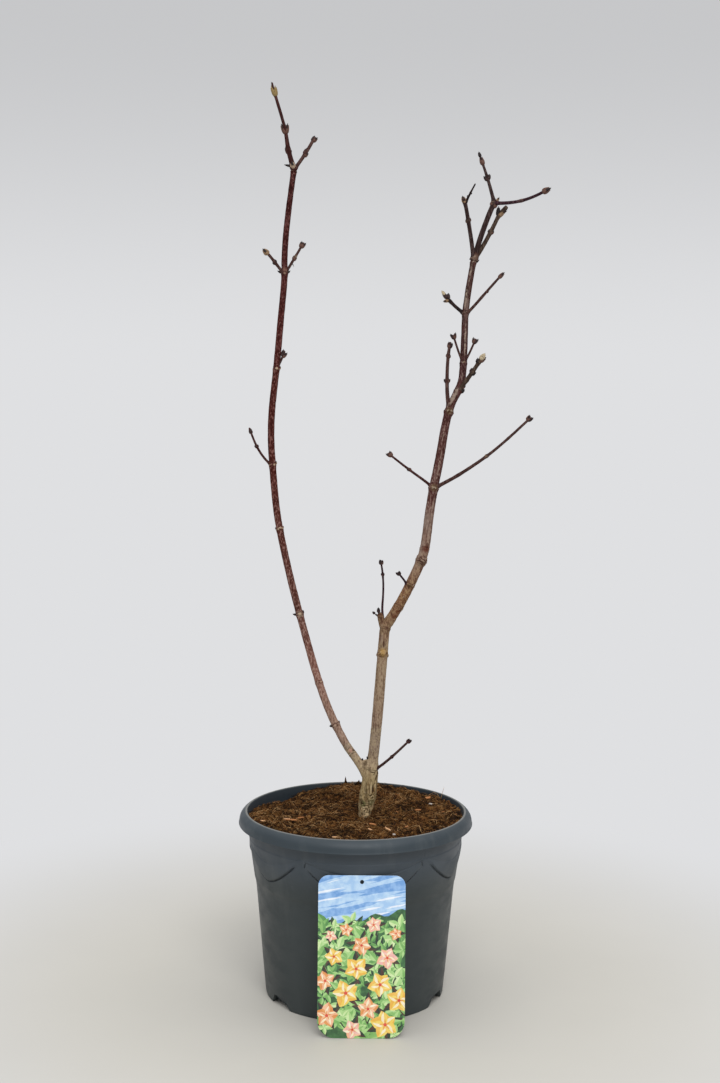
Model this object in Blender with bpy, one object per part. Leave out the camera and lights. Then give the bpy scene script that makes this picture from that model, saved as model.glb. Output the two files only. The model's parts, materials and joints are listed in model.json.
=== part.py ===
"""A young full moon maple, bare in winter, in a round plastic nursery pot.

The origin is the centre of the pot's flat underside, +Z is up and -Y is the front, where a picture
card leans on the pot. The short trunk forks into two long boughs, and each limb grows on from its
parent through a few internodes. Units are metres and degrees.
"""
import math

import bmesh
import bpy
from mathutils import Matrix, Vector

GAP = 0.0003                    # clearance between a piece and what carries it
UP = Vector((0.0, 0.0, 1.0))

# ---------------------------------------------------------------------------
# Pot: a tapering wall with a wider band at the top, under a broad sloping lip
# ---------------------------------------------------------------------------
POT_HEIGHT = 0.2297
POT_SIDES = 60
WALL = 0.0022
BASE_RADIUS = 0.1105
BASE_BEVEL = 0.0025
BAND_FOOT = 0.137               # where the wall starts to step out to the band
BAND_TOP = 0.1965               # where the band runs into the lip
FOOT_TO_BAND = 0.0125           # the wall's flare up to the band
BAND_STEP = 0.0028              # how far the band stands out
BAND_STEP_RISE = 0.016
BAND_FLARE = 0.0059             # the band's own flare up to the lip
LIP_SECTION = (                 # radius and height up the lip's outside, widest at the second
    (0.1431, 0.2110), (0.1446, 0.2150), (0.1416, 0.2220), (0.1370, 0.2287))
LIP_TOP_RADIUS = 0.1358
MOUTH_RADIUS = 0.1340
RIM_BEVEL = 0.0010
FLOOR = 0.0030
LEDGE_TOP = 0.0145              # a solid ring inside the wall's foot, behind the notches
LEDGE_RADIUS = 0.0970
LEDGE_DRAFT = 0.0010            # the ledge is this much wider at its top

# Notches in the foot of the wall
NOTCH_COUNT = 6
NOTCH_TURN = 5.2                # the first notch's angle from the front
NOTCH_HEIGHT = 0.0115
NOTCH_HALF_WIDTH = 0.0195       # at the ground
NOTCH_SLANT = 0.0075            # each side leans in by this much at the top
NOTCH_DEPTH = 0.0090
NOTCH_OVERSHOOT = 0.0040        # the cutter reaches this far past the wall, and below the ground

# ---------------------------------------------------------------------------
# Soil: peat that fills the pot to just under the lip, uneven on top
# ---------------------------------------------------------------------------
SOIL_SIDES = 40
SOIL_RINGS = 6
SOIL_LEVEL = 0.2190             # where the trunk stands
SOIL_FLAT_RADIUS = 0.026        # level ground round the trunk
SOIL_RIM_LEVEL = 0.2205
SOIL_BACK_RISE = 0.0040         # the peat is banked up against the back of the pot
SOIL_DIP = 0.0090               # and sunk at the left of the back
SOIL_DIP_ANGLE = 140.0
SOIL_DIP_SPREAD = 26.0
SOIL_LUMP = 0.0011
SOIL_CLEARANCE = 0.0006         # to the wall, whose flat facets reach a little inward

# ---------------------------------------------------------------------------
# Picture card, standing on the ground and leaning back on the pot
# ---------------------------------------------------------------------------
CARD_WIDTH = 0.1016
CARD_LENGTH = 0.1880
CARD_THICKNESS = 0.0008
CARD_CENTRE = 0.0083            # to the right of the pot's middle
CARD_FOOT = -0.1570             # where its foot stands, in front of the pot
CARD_TOP_CORNER = 0.0120
CARD_FOOT_CORNER = 0.0200
CARD_HOLE = 0.0048
CARD_HOLE_DROP = 0.0076

# ---------------------------------------------------------------------------
# Limbs. "at" is the distance along the parent's centre line where the limb starts. An internode is
# (length, lean to the right, lean to the back). "widths" are diameters at even spaces from the foot
# to the tip. "clear_of" names the limbs that this one is trimmed to, beside its parent.
# ---------------------------------------------------------------------------
TRUNK_FOOT = (0.012, 0.0, SOIL_LEVEL + GAP)

LIMBS = {
    "trunk": dict(
        parent=None, at=0.0, widths=(0.0158, 0.0200, 0.0214, 0.0196, 0.0190, 0.0186),
        internodes=((0.027, 6, 0), (0.022, 8, -3), (0.019, 3, -3))),
    "right_bough": dict(
        parent="trunk", at=0.063, widths=(0.0134, 0.0128, 0.0116, 0.0108, 0.0086, 0.0070),
        internodes=((0.018, 10, -3), (0.046, 5, -4), (0.046, 4, -4), (0.055, 4, -5), (0.016, 4, -5),
                    (0.021, 35, -10), (0.030, 28, -7), (0.042, 24, -7), (0.019, 15, -3),
                    (0.044, 6, -1), (0.029, 9, 1), (0.028, 12, 2), (0.064, 9, 6),
                    (0.031, 28, 10), (0.015, 15, 8), (0.054, 2, 7), (0.023, 1, 9),
                    (0.034, 8, 7), (0.032, 10, 7))),
    "left_bough": dict(
        parent="trunk", at=0.048, widths=(0.0104, 0.0090, 0.0085, 0.0080, 0.0068),
        clear_of=("right_bough",),
        internodes=((0.035, -34, 7), (0.015, -39, 7), (0.029, -29, 8), (0.030, -25, 7),
                    (0.045, -19, 8), (0.074, -16, 8), (0.045, -15, 6), (0.059, -13, 6),
                    (0.034, -9, 5), (0.045, -5, 2), (0.036, -4, 2), (0.038, 2, -2),
                    (0.049, 7, -3), (0.065, 5, -5), (0.044, 6, -7), (0.029, -1, -6),
                    (0.043, 5, -7), (0.061, 8, -7))),
    "fork_twig": dict(
        parent="trunk", at=0.058, widths=(0.0030, 0.0022), clear_of=("right_bough",),
        internodes=((0.015, 53, -23), (0.022, 47, -16), (0.033, 43, -14))),
    "left_tip_twig": dict(
        parent="left_bough", at=0.773, widths=(0.0052, 0.0044, 0.0030, 0.0030, 0.0014),
        internodes=((0.026, -16, -7), (0.017, -7, -6), (0.012, -13, -5), (0.030, -17, -8),
                    (0.009, -18, -5), (0.012, -13, -5))),
    "left_tip_side_twig": dict(
        parent="left_bough", at=0.773, widths=(0.0036, 0.0032), clear_of=("left_tip_twig",),
        internodes=((0.027, 34, 13), (0.023, 28, 15))),
    "left_high_twig_left": dict(
        parent="left_bough", at=0.648, widths=(0.0030, 0.0028),
        internodes=((0.020, -38, -23), (0.014, -39, -21), (0.007, -56, -18))),
    "left_high_twig_right": dict(
        parent="left_bough", at=0.648, widths=(0.0028, 0.0024),
        internodes=((0.025, 30, 19), (0.024, 29, 19))),
    "left_spur_twig": dict(
        parent="left_bough", at=0.532, widths=(0.0024, 0.0022),
        internodes=((0.014, 29, -13), (0.013, 19, -12))),
    "left_low_twig": dict(
        parent="left_bough", at=0.412, widths=(0.0026, 0.0020),
        internodes=((0.015, -49, 19), (0.018, -35, 20), (0.021, -24, 22), (0.007, -20, 18))),
    "crown_twig_middle": dict(
        parent="right_bough", at=0.643, widths=(0.0052, 0.0050),
        internodes=((0.029, 16, 6), (0.029, 20, 6), (0.019, 24, 9))),
    "crown_twig_left": dict(
        parent="right_bough", at=0.643, widths=(0.0042, 0.0036), clear_of=("crown_twig_middle",),
        internodes=((0.021, -8, -14), (0.028, -11, -14), (0.021, -12, -17), (0.007, -30, -17))),
    "crown_twig_right": dict(
        parent="right_bough", at=0.643, widths=(0.0044, 0.0038), clear_of=("crown_twig_middle",),
        internodes=((0.014, 35, 16), (0.030, 29, 16), (0.024, 25, 14), (0.014, 46, 8))),
    "crown_dead_twig": dict(
        parent="crown_twig_left", at=0.069, widths=(0.0022, 0.0014),
        internodes=((0.015, 26, -11), (0.012, 28, -15))),
    "crown_twig_outer": dict(
        parent="crown_twig_middle", at=0.074, widths=(0.0036, 0.0030, 0.0028),
        internodes=((0.010, 97, -24), (0.021, 86, -22), (0.019, 73, -18), (0.021, 63, -17))),
    "crown_twig_back": dict(
        parent="crown_twig_middle", at=0.074, widths=(0.0038, 0.0030, 0.0020),
        clear_of=("crown_twig_outer",),
        internodes=((0.019, -14, 16), (0.014, -16, 12), (0.022, -18, 13), (0.010, -21, 11))),
    "right_high_twig_left": dict(
        parent="right_bough", at=0.577, widths=(0.0034, 0.0032),
        internodes=((0.015, -52, 16), (0.013, -44, 17), (0.009, -39, 14))),
    "right_high_twig_right": dict(
        parent="right_bough", at=0.577, widths=(0.0030, 0.0022),
        internodes=((0.011, 47, -26), (0.030, 40, -18), (0.027, 41, -17))),
    "right_pair_twig_left": dict(
        parent="right_bough", at=0.517, widths=(0.0022, 0.0020),
        internodes=((0.017, -23, -13), (0.023, -19, -15))),
    "right_pair_twig_right": dict(
        parent="right_bough", at=0.517, widths=(0.0022, 0.0020),
        internodes=((0.014, 30, 16), (0.022, 24, 16))),
    "right_stout_twig": dict(
        parent="right_bough", at=0.482, widths=(0.0042, 0.0038),
        internodes=((0.018, 37, -13), (0.016, 33, -17), (0.021, 32, -15))),
    "right_upright_twig": dict(
        parent="right_bough", at=0.458, widths=(0.0042, 0.0034, 0.0030),
        internodes=((0.019, -7, 18), (0.019, -1, 19), (0.027, 2, 15), (0.021, 9, 14))),
    "right_outer_twig": dict(
        parent="right_bough", at=0.363, widths=(0.0038, 0.0032, 0.0026, 0.0024),
        internodes=((0.012, 62, -20), (0.026, 59, -20), (0.041, 54, -19), (0.033, 48, -13),
                    (0.038, 45, -13))),
    "right_inner_twig": dict(
        parent="right_bough", at=0.363, widths=(0.0028, 0.0020),
        internodes=((0.012, -50, 31), (0.032, -56, 30), (0.033, -53, 25))),
    "right_low_upright_twig": dict(
        parent="right_bough", at=0.180, widths=(0.0026, 0.0020, 0.0018),
        internodes=((0.020, -15, -18), (0.027, 4, -12), (0.021, -2, -14), (0.020, -9, -15))),
    "right_low_short_twig": dict(
        parent="right_bough", at=0.238, widths=(0.0022, 0.0018),
        internodes=((0.013, -32, -27), (0.014, -39, -22))),
}

# The long boughs are divided where they bend, at these distances along their centre lines.
DIVISIONS = {
    "left_bough": (("lower", 0.329), ("middle", 0.529), ("upper", None)),
    "right_bough": (("lower", 0.178), ("bend", 0.270), ("middle", 0.452), ("upper", None)),
}

CORNER_CUTS = 2                 # how often a centre line's corners are cut to round them
RING_SPACING = {"trunk": 0.006, "right_bough": 0.012, "left_bough": 0.012}
TWIG_RING_SPACING = 0.009
LIMB_SIDES = {"trunk": 16, "right_bough": 10, "left_bough": 10}
TWIG_SIDES = 8

# Colours (linear red, green, blue), roughness
POT_GREY = (0.045, 0.056, 0.066, 0.60)
PEAT_BROWN = (0.095, 0.042, 0.018, 0.95)
TRUNK_OLIVE = (0.250, 0.190, 0.105, 0.80)
BOUGH_TAN = (0.190, 0.120, 0.075, 0.70)
BOUGH_MAROON = (0.085, 0.026, 0.020, 0.55)
TWIG_BROWN = (0.070, 0.038, 0.030, 0.60)
CARD_GREEN = (0.180, 0.330, 0.150, 0.35)


# ---------------------------------------------------------------------------
# Objects and materials
# ---------------------------------------------------------------------------
def clear_scene():
    for item in list(bpy.data.objects):
        bpy.data.objects.remove(item, do_unlink=True)


def material(name, finish):
    red, green, blue, roughness = finish
    made = bpy.data.materials.new(name)
    made.use_nodes = True
    shader = made.node_tree.nodes["Principled BSDF"]
    shader.inputs["Base Color"].default_value = (red, green, blue, 1.0)
    shader.inputs["Roughness"].default_value = roughness
    shader.inputs["Metallic"].default_value = 0.0
    return made


def add_object(name, bm, finish=None, smooth=True):
    """Turn a bmesh into an object, with its faces pointing out and its own material."""
    bmesh.ops.recalc_face_normals(bm, faces=bm.faces)
    mesh = bpy.data.meshes.new(name)
    bm.to_mesh(mesh)
    bm.free()
    if smooth:
        mesh.shade_smooth()
        mesh.set_sharp_from_angle(angle=math.radians(35))
    made = bpy.data.objects.new(name, mesh)
    bpy.context.scene.collection.objects.link(made)
    if finish:
        mesh.materials.append(material(name, finish))
    return made


def as_cutter(item):
    item.hide_render = True
    item.display_type = "WIRE"
    return item


def cut(item, cutter):
    boolean = item.modifiers.new("cut_" + cutter.name, "BOOLEAN")
    boolean.operation = "DIFFERENCE"
    boolean.solver = "EXACT"
    boolean.object = cutter


def bridge_rings(bm, rings):
    for lower, upper in zip(rings, rings[1:]):
        count = len(lower)
        for i in range(count):
            j = (i + 1) % count
            bm.faces.new((lower[i], lower[j], upper[j], upper[i]))


def fan(bm, ring, centre):
    for i in range(len(ring)):
        bm.faces.new((ring[i], ring[(i + 1) % len(ring)], centre))


# ---------------------------------------------------------------------------
# Pot
# ---------------------------------------------------------------------------
def wall_radius(height):
    """Outer radius of the wall below the lip."""
    if height <= BAND_FOOT:
        return BASE_RADIUS + FOOT_TO_BAND * height / BAND_FOOT
    top_of_wall = BASE_RADIUS + FOOT_TO_BAND
    step = min((height - BAND_FOOT) / BAND_STEP_RISE, 1.0)
    flare = (height - BAND_FOOT) / (BAND_TOP - BAND_FOOT)
    return top_of_wall + BAND_STEP * step * step * (3 - 2 * step) + BAND_FLARE * flare


def pot_profile():
    """Radius and height round the pot's section, from under its middle, up and over, to its floor."""
    thirds = (1 / 3, 2 / 3, 1)
    heights = [BAND_FOOT * share for share in thirds]
    heights += [BAND_FOOT + BAND_STEP_RISE * share for share in thirds]
    heights.append(BAND_TOP)
    outer = [(0.0, 0.0), (BASE_RADIUS - BASE_BEVEL, 0.0), (BASE_RADIUS, BASE_BEVEL)]
    outer += [(wall_radius(height), height) for height in heights]
    rim = [(LIP_TOP_RADIUS, POT_HEIGHT), (MOUTH_RADIUS + RIM_BEVEL, POT_HEIGHT),
           (MOUTH_RADIUS, POT_HEIGHT - RIM_BEVEL)]
    inner = [(inner_radius(height), height) for height in (BAND_TOP, BAND_FOOT, LEDGE_TOP)]
    ledge = [(LEDGE_RADIUS + LEDGE_DRAFT, LEDGE_TOP), (LEDGE_RADIUS, FLOOR), (0.0, FLOOR)]
    return outer + list(LIP_SECTION) + rim + inner + ledge


def inner_radius(height):
    """Inner radius of the wall: even from the ledge to the band, then out to the mouth."""
    low = wall_radius(LEDGE_TOP) - WALL
    band_foot = wall_radius(BAND_FOOT) - WALL
    if height <= BAND_FOOT:
        return low + (band_foot - low) * (height - LEDGE_TOP) / (BAND_FOOT - LEDGE_TOP)
    rise = (height - BAND_FOOT) / (POT_HEIGHT - RIM_BEVEL - BAND_FOOT)
    return band_foot + (MOUTH_RADIUS - band_foot) * rise


def turned(profile, sides):
    """A solid of revolution whose profile starts and ends on the axis."""
    bm = bmesh.new()
    rings = []
    for radius, height in profile[1:-1]:
        ring = []
        for i in range(sides):
            angle = 2 * math.pi * i / sides
            ring.append(bm.verts.new((radius * math.cos(angle), radius * math.sin(angle), height)))
        rings.append(ring)
    bridge_rings(bm, rings)
    fan(bm, rings[0], bm.verts.new((0.0, 0.0, profile[0][1])))
    fan(bm, rings[-1], bm.verts.new((0.0, 0.0, profile[-1][1])))
    return bm


def notch_cutter():
    """Six wedges, wider at the ground, that cut into the wall's foot from outside."""
    bm = bmesh.new()
    inside = BASE_RADIUS - NOTCH_DEPTH
    outside = wall_radius(NOTCH_HEIGHT) + NOTCH_OVERSHOOT
    below = -NOTCH_OVERSHOOT
    top_half = NOTCH_HALF_WIDTH - NOTCH_SLANT
    foot_half = NOTCH_HALF_WIDTH + NOTCH_SLANT * -below / NOTCH_HEIGHT
    section = [(-foot_half, below), (foot_half, below), (top_half, NOTCH_HEIGHT),
               (-top_half, NOTCH_HEIGHT)]
    for k in range(NOTCH_COUNT):
        turn = Matrix.Rotation(math.radians(NOTCH_TURN + k * 360 / NOTCH_COUNT), 4, "Z")
        near = [bm.verts.new(turn @ Vector((x, -outside, z))) for x, z in section]
        far = [bm.verts.new(turn @ Vector((x, -inside, z))) for x, z in section]
        bridge_rings(bm, [near, far])
        bm.faces.new(near)
        bm.faces.new(far)
    return as_cutter(add_object("notches", bm, smooth=False))


def make_pot():
    pot = add_object("pot", turned(pot_profile(), POT_SIDES), POT_GREY)
    cut(pot, notch_cutter())


# ---------------------------------------------------------------------------
# Soil
# ---------------------------------------------------------------------------
def smoothstep(value):
    value = max(0.0, min(1.0, value))
    return value * value * (3 - 2 * value)


def soil_rim_height(turn):
    """Height of the peat at the pot's wall, at an angle anticlockwise from the right."""
    dip = math.exp(-((math.degrees(turn) - SOIL_DIP_ANGLE) / SOIL_DIP_SPREAD) ** 2)
    return SOIL_RIM_LEVEL + SOIL_BACK_RISE * math.sin(turn) - SOIL_DIP * dip


def soil_top(turn, share):
    """Point on the peat, where share runs from 0 at the wall to 1 at the flat round the trunk."""
    rim = soil_rim_height(turn)
    edge = inner_radius(rim) - SOIL_CLEARANCE
    radius = edge + (SOIL_FLAT_RADIUS - edge) * share
    fall = smoothstep(1.0 - share)
    lumps = math.sin(3 * turn + 1.0) + math.sin(5 * turn + 9 * share)
    swell = 4 * fall * (1.0 - fall)             # nothing at the wall and at the flat, most between
    height = SOIL_LEVEL + (rim - SOIL_LEVEL) * fall + SOIL_LUMP * lumps * swell
    return Vector((radius * math.cos(turn), radius * math.sin(turn), height))


def make_soil():
    bm = bmesh.new()
    turns = [2 * math.pi * i / SOIL_SIDES for i in range(SOIL_SIDES)]
    below = [(LEDGE_RADIUS - SOIL_CLEARANCE, FLOOR + GAP),
             (LEDGE_RADIUS + LEDGE_DRAFT - SOIL_CLEARANCE, LEDGE_TOP + GAP),
             (inner_radius(LEDGE_TOP) - SOIL_CLEARANCE, LEDGE_TOP + GAP),
             (inner_radius(BAND_FOOT) - SOIL_CLEARANCE, BAND_FOOT)]
    rings = []
    for radius, height in below:
        rings.append([bm.verts.new((radius * math.cos(turn), radius * math.sin(turn), height))
                      for turn in turns])
    for k in range(SOIL_RINGS):
        rings.append([bm.verts.new(soil_top(turn, k / (SOIL_RINGS - 1))) for turn in turns])
    bridge_rings(bm, rings)
    fan(bm, rings[0], bm.verts.new((0.0, 0.0, FLOOR + GAP)))
    fan(bm, rings[-1], bm.verts.new((0.0, 0.0, SOIL_LEVEL)))
    add_object("soil", bm, PEAT_BROWN)


# ---------------------------------------------------------------------------
# Picture card
# ---------------------------------------------------------------------------
def card_outline(steps=5):
    """A rectangle standing on z = 0 with a round arc at each corner."""
    half = CARD_WIDTH / 2
    corners = [(half, 0.0, CARD_FOOT_CORNER, -90), (half, CARD_LENGTH, CARD_TOP_CORNER, 0),
               (-half, CARD_LENGTH, CARD_TOP_CORNER, 90), (-half, 0.0, CARD_FOOT_CORNER, 180)]
    points = []
    for x, z, radius, start in corners:
        centre_x = x - math.copysign(radius, x)
        centre_z = z + radius if z == 0.0 else z - radius
        for k in range(steps + 1):
            angle = math.radians(start + 90 * k / steps)
            points.append((centre_x + radius * math.cos(angle), centre_z + radius * math.sin(angle)))
    return points


def make_card():
    bm = bmesh.new()
    outline = card_outline()
    front = [bm.verts.new((x, -CARD_THICKNESS / 2, z)) for x, z in outline]
    back = [bm.verts.new((x, CARD_THICKNESS / 2, z)) for x, z in outline]
    bridge_rings(bm, [front, back])
    bm.faces.new(front)
    bm.faces.new(back)
    card = add_object("picture_card", bm, CARD_GREEN, smooth=False)
    hole = bmesh.new()
    place = (Matrix.Translation((0.0, 0.0, CARD_LENGTH - CARD_HOLE_DROP))
             @ Matrix.Rotation(math.radians(90), 4, "X"))
    bmesh.ops.create_cone(hole, cap_ends=True, segments=12, radius1=CARD_HOLE / 2,
                          radius2=CARD_HOLE / 2, depth=10 * CARD_THICKNESS, matrix=place)
    punch = as_cutter(add_object("card_punch", hole, smooth=False))
    cut(card, punch)
    reach = -CARD_FOOT - wall_radius(CARD_LENGTH) - CARD_THICKNESS - GAP
    lean = math.asin(reach / CARD_LENGTH)
    card.location = (CARD_CENTRE, CARD_FOOT, CARD_THICKNESS / 2 * math.sin(lean))
    card.rotation_euler = (-lean, 0.0, 0.0)
    punch.parent = card


# ---------------------------------------------------------------------------
# Limbs
# ---------------------------------------------------------------------------
def growth(internode):
    """The step that an internode takes."""
    length, right, back = internode
    right = math.radians(right)
    back = math.radians(back)
    direction = Vector((math.sin(right) * math.cos(back), math.sin(back),
                        math.cos(right) * math.cos(back)))
    return direction * length


def round_corners(points):
    for _ in range(CORNER_CUTS):
        cut_points = [points[0]]
        for start, end in zip(points, points[1:]):
            cut_points.append(start.lerp(end, 0.25))
            cut_points.append(start.lerp(end, 0.75))
        cut_points.append(points[-1])
        points = cut_points
    return points


def line_length(line):
    return sum((end - start).length for start, end in zip(line, line[1:]))


def point_along(line, distance):
    """The point at a distance along a line, and the line's direction there."""
    for start, end in zip(line, line[1:]):
        span = (end - start).length
        if distance <= span:
            break
        distance -= span
    direction = (end - start).normalized()
    return start + direction * distance, direction


def centre_line(name):
    limb = LIMBS[name]
    if limb["parent"]:
        foot, _ = point_along(centre_line(limb["parent"]), limb["at"])
    else:
        foot = Vector(TRUNK_FOOT)
    points = [foot]
    for internode in limb["internodes"]:
        points.append(points[-1] + growth(internode))
    return round_corners(points)


def width_at(widths, share):
    """Diameter at a share of the limb's length, read between its even spaced widths."""
    place = share * (len(widths) - 1)
    k = min(int(place), len(widths) - 2)
    return widths[k] + (widths[k + 1] - widths[k]) * (place - k)


def stretches(name):
    """A limb's pieces, each as its label and the distances of its first and last ring."""
    whole = line_length(centre_line(name))
    start = 0.0
    found = []
    for label, division in DIVISIONS.get(name, (("", None),)):
        end = whole if division is None else division - GAP / 2
        found.append((label, start, end))
        start = end + GAP
    return found


def limb_rings(name, swell=0.0):
    """The rings of points round a limb's centre line, as one list for each of its pieces.

    swell makes the limb thicker, for the cutter that trims what grows beside it.
    """
    line = centre_line(name)
    whole = line_length(line)
    spacing = RING_SPACING.get(name, TWIG_RING_SPACING)
    sides = LIMB_SIDES.get(name, TWIG_SIDES)
    across = Vector((1.0, 0.0, 0.0))
    pieces = []
    for _, start, end in stretches(name):
        count = max(3, round((end - start) / spacing) + 1)
        rings = []
        for k in range(count):
            distance = start + (end - start) * k / (count - 1)
            centre, _ = point_along(line, distance)
            before, _ = point_along(line, max(distance - spacing / 2, 0.0))
            after, _ = point_along(line, min(distance + spacing / 2, whole))
            direction = (after - before).normalized()
            if name == "trunk" and distance == 0.0:
                direction = UP
            across = (across - direction * across.dot(direction)).normalized()
            beside = direction.cross(across)
            radius = width_at(LIMBS[name]["widths"], distance / whole) / 2 + swell
            ring = []
            for i in range(sides):
                angle = 2 * math.pi * i / sides
                ring.append(centre + (across * math.cos(angle) + beside * math.sin(angle)) * radius)
            rings.append(ring)
        pieces.append(rings)
    return pieces


def tube(rings):
    """A closed tube through rings of points."""
    bm = bmesh.new()
    made = [[bm.verts.new(point) for point in ring] for ring in rings]
    bridge_rings(bm, made)
    bm.faces.new(made[0])
    bm.faces.new(made[-1])
    return bm


def limb_cutter(name):
    """A limb's whole tube, thicker and longer by the clearance."""
    rings = [ring for piece in limb_rings(name, swell=GAP) for ring in piece]
    line = centre_line(name)
    foot_step = (line[0] - line[1]).normalized() * GAP
    tip_step = (line[-1] - line[-2]).normalized() * GAP
    rings[0] = [point + foot_step for point in rings[0]]
    rings[-1] = [point + tip_step for point in rings[-1]]
    return as_cutter(add_object("cutter_" + name, tube(rings), smooth=False))


def limb_finish(name):
    if name == "trunk":
        return TRUNK_OLIVE
    if name == "right_bough":
        return BOUGH_TAN
    return BOUGH_MAROON if name == "left_bough" else TWIG_BROWN


def make_limb(name, cutters):
    """Make a limb's pieces, trimmed to its parent and to the limbs that it stands beside."""
    limb = LIMBS[name]
    neighbours = list(limb.get("clear_of", ()))
    if limb["parent"]:
        neighbours.insert(0, limb["parent"])
    for (label, start, _), rings in zip(stretches(name), limb_rings(name)):
        piece_name = name + "_" + label if label else name
        piece = add_object(piece_name, tube(rings), limb_finish(name))
        if start == 0.0:
            for neighbour in neighbours:
                cut(piece, cutters[neighbour])


def make_limbs():
    carriers = set()
    for limb in LIMBS.values():
        carriers.update(limb.get("clear_of", ()))
        if limb["parent"]:
            carriers.add(limb["parent"])
    cutters = {name: limb_cutter(name) for name in sorted(carriers)}
    for name in LIMBS:
        make_limb(name, cutters)


clear_scene()
make_pot()
make_soil()
make_card()
make_limbs()
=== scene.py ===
"""The looks of a young full moon maple, bare in winter, in a round plastic nursery pot.

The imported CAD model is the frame. Each of its nodes is replaced by a finer piece in the same place: the
pot with its moulded swags, fibrous peat, a printed card, and limbs grown from the CAD's own internodes,
with bark, nodes, buds and leaf scars. Units are metres and degrees, +Z is up and -Y is the front.
"""
import functools
import json
import math
import random

import bpy
import numpy as np
from mathutils import Matrix, Vector, geometry, kdtree, noise

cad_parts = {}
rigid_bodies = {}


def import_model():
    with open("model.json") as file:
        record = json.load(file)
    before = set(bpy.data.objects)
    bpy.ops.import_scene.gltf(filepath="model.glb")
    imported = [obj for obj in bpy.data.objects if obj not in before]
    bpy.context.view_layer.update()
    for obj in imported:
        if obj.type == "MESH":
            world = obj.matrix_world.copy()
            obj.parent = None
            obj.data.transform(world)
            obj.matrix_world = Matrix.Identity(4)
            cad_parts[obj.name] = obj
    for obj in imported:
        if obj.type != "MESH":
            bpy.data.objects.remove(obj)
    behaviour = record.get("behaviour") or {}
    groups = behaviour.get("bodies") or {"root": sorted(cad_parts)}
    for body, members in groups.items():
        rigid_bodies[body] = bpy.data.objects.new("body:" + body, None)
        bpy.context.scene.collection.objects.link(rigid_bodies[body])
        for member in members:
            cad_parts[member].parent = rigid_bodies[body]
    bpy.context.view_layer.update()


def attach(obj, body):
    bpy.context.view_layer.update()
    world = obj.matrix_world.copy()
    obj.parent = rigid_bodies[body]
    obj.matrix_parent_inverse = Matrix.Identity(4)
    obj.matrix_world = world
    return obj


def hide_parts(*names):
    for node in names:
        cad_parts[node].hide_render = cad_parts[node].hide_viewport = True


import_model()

MM = 0.001
BODY = "root"

# ---------------------------------------------------------------------------
# Camera, floor and light
# ---------------------------------------------------------------------------
CAMERA_PLACE = (0.0028, -1.9906, 0.7701)
CAMERA_PITCH = 5.927            # degrees below the horizon
CAMERA_ROLL = 0.452             # degrees
CAMERA_LENS = 54.515            # mm, on a 36 mm long side
FLOOR_COLOUR = (0.515, 0.497, 0.448)
FLOOR_RADIUS = 12.0
FLOOR_SIDES = 96
FLOOR_GAP = 0.0002              # the floor lies this much under the pot's foot
FLOOR_NEAR = 0.26               # from here outwards the floor fades into the backdrop
FLOOR_FAR = 0.85                # and from here it shows only the backdrop
BACKDROP = (0.74, 0.745, 0.76)
# How bright the surroundings are, next to the backdrop just above the floor
BACKDROP_DIM = 0.77             # at the top of the picture
SIDE_DIM = 0.88                 # at the sides
CEILING = 1.7                   # overhead
KEY_PLACE = (0.35, -2.2, 2.4)   # a soft lamp in front and above
KEY_AIM = (0.0, 0.0, 0.5)
KEY_SIZE = 1.6
KEY_POWER = 42.0

# ---------------------------------------------------------------------------
# Pot. Heights and radii follow the CAD pot; the relief on its band is added here.
# ---------------------------------------------------------------------------
POT_COLUMNS = 400
JOIN_COLUMNS = 15               # more columns each side of the place where two swags meet
JOIN_STEP = 0.2
WALL = 0.0022
FLOOR_TOP = 0.0030
WALL_SECTION = (                # height and outer radius of the wall, from the foot to the lip
    (0.0000, 0.1098), (0.0025, 0.1106), (0.0200, 0.1124), (0.0440, 0.1146), (0.0670, 0.1165),
    (0.0900, 0.1186), (0.1140, 0.1206), (0.1365, 0.1226), (0.1430, 0.1234), (0.1480, 0.1248),
    (0.1595, 0.1264), (0.1750, 0.1286), (0.1900, 0.1307), (0.1970, 0.1317), (0.1985, 0.1312),
    (0.2150, 0.1338))
LIP_SECTION = (                 # height and radius round the lip, from its underside up to the mouth
    (0.2146, 0.1345), (0.2140, 0.1435), (0.2140, 0.1442), (0.2147, 0.1446), (0.2157, 0.1442),
    (0.2175, 0.1440), (0.2200, 0.1437), (0.2225, 0.1430), (0.2248, 0.1417), (0.2268, 0.1400),
    (0.2284, 0.1381), (0.2293, 0.1366), (0.2297, 0.1356), (0.2297, 0.1349), (0.2292, 0.1342),
    (0.2280, 0.1338))
INNER_SECTION = (               # height and radius down the inside, from the mouth to the floor
    (0.2280, 0.1338), (0.2200, 0.1330), (0.1985, 0.1287), (0.1370, 0.1202), (0.0145, 0.1098),
    (0.0040, 0.1050))
FOOT_ROWS = 8
FOOT_TOP = 0.0200               # above this the notches in the foot no longer bend the rows
BAND_FOOT = 0.1350
SWAG_FOOT = 0.1550
SWAG_TOP = 0.1995
WALL_TOP = 0.2140
MOUTH = 0.2297
ROW_STEPS = (0.0060, 0.0015, 0.0006, 0.0030)    # rows: below the band, on it, on the swags and above them
NOTCH_COUNT = 6
NOTCH_TURN = 5.2                # the first notch's angle from the front, and the middle of the relief
NOTCH_HEIGHT = 0.0125
NOTCH_HALF_WIDTH = 0.0195
NOTCH_SLANT = 0.0085
NOTCH_DEPTH = 0.0090
GROOVE = 0.0006                 # the floor's underside is this much above the foot, behind the wall
SWAG_SPAN = (64.2, 55.8)        # swags of two widths take turns round the pot
SWAG_LIFT = 0.0013              # how far a swag stands out at its lower edge
SWAG_OVERLAP = 0.0030           # a swag is flat where its lower edge lies this far above its upper one
SWAG_LOW = ((0.1580, 0.0332, 2.4), (0.1605, 0.0423, 1.6))   # lower edge: lowest height, rise, power
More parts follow.
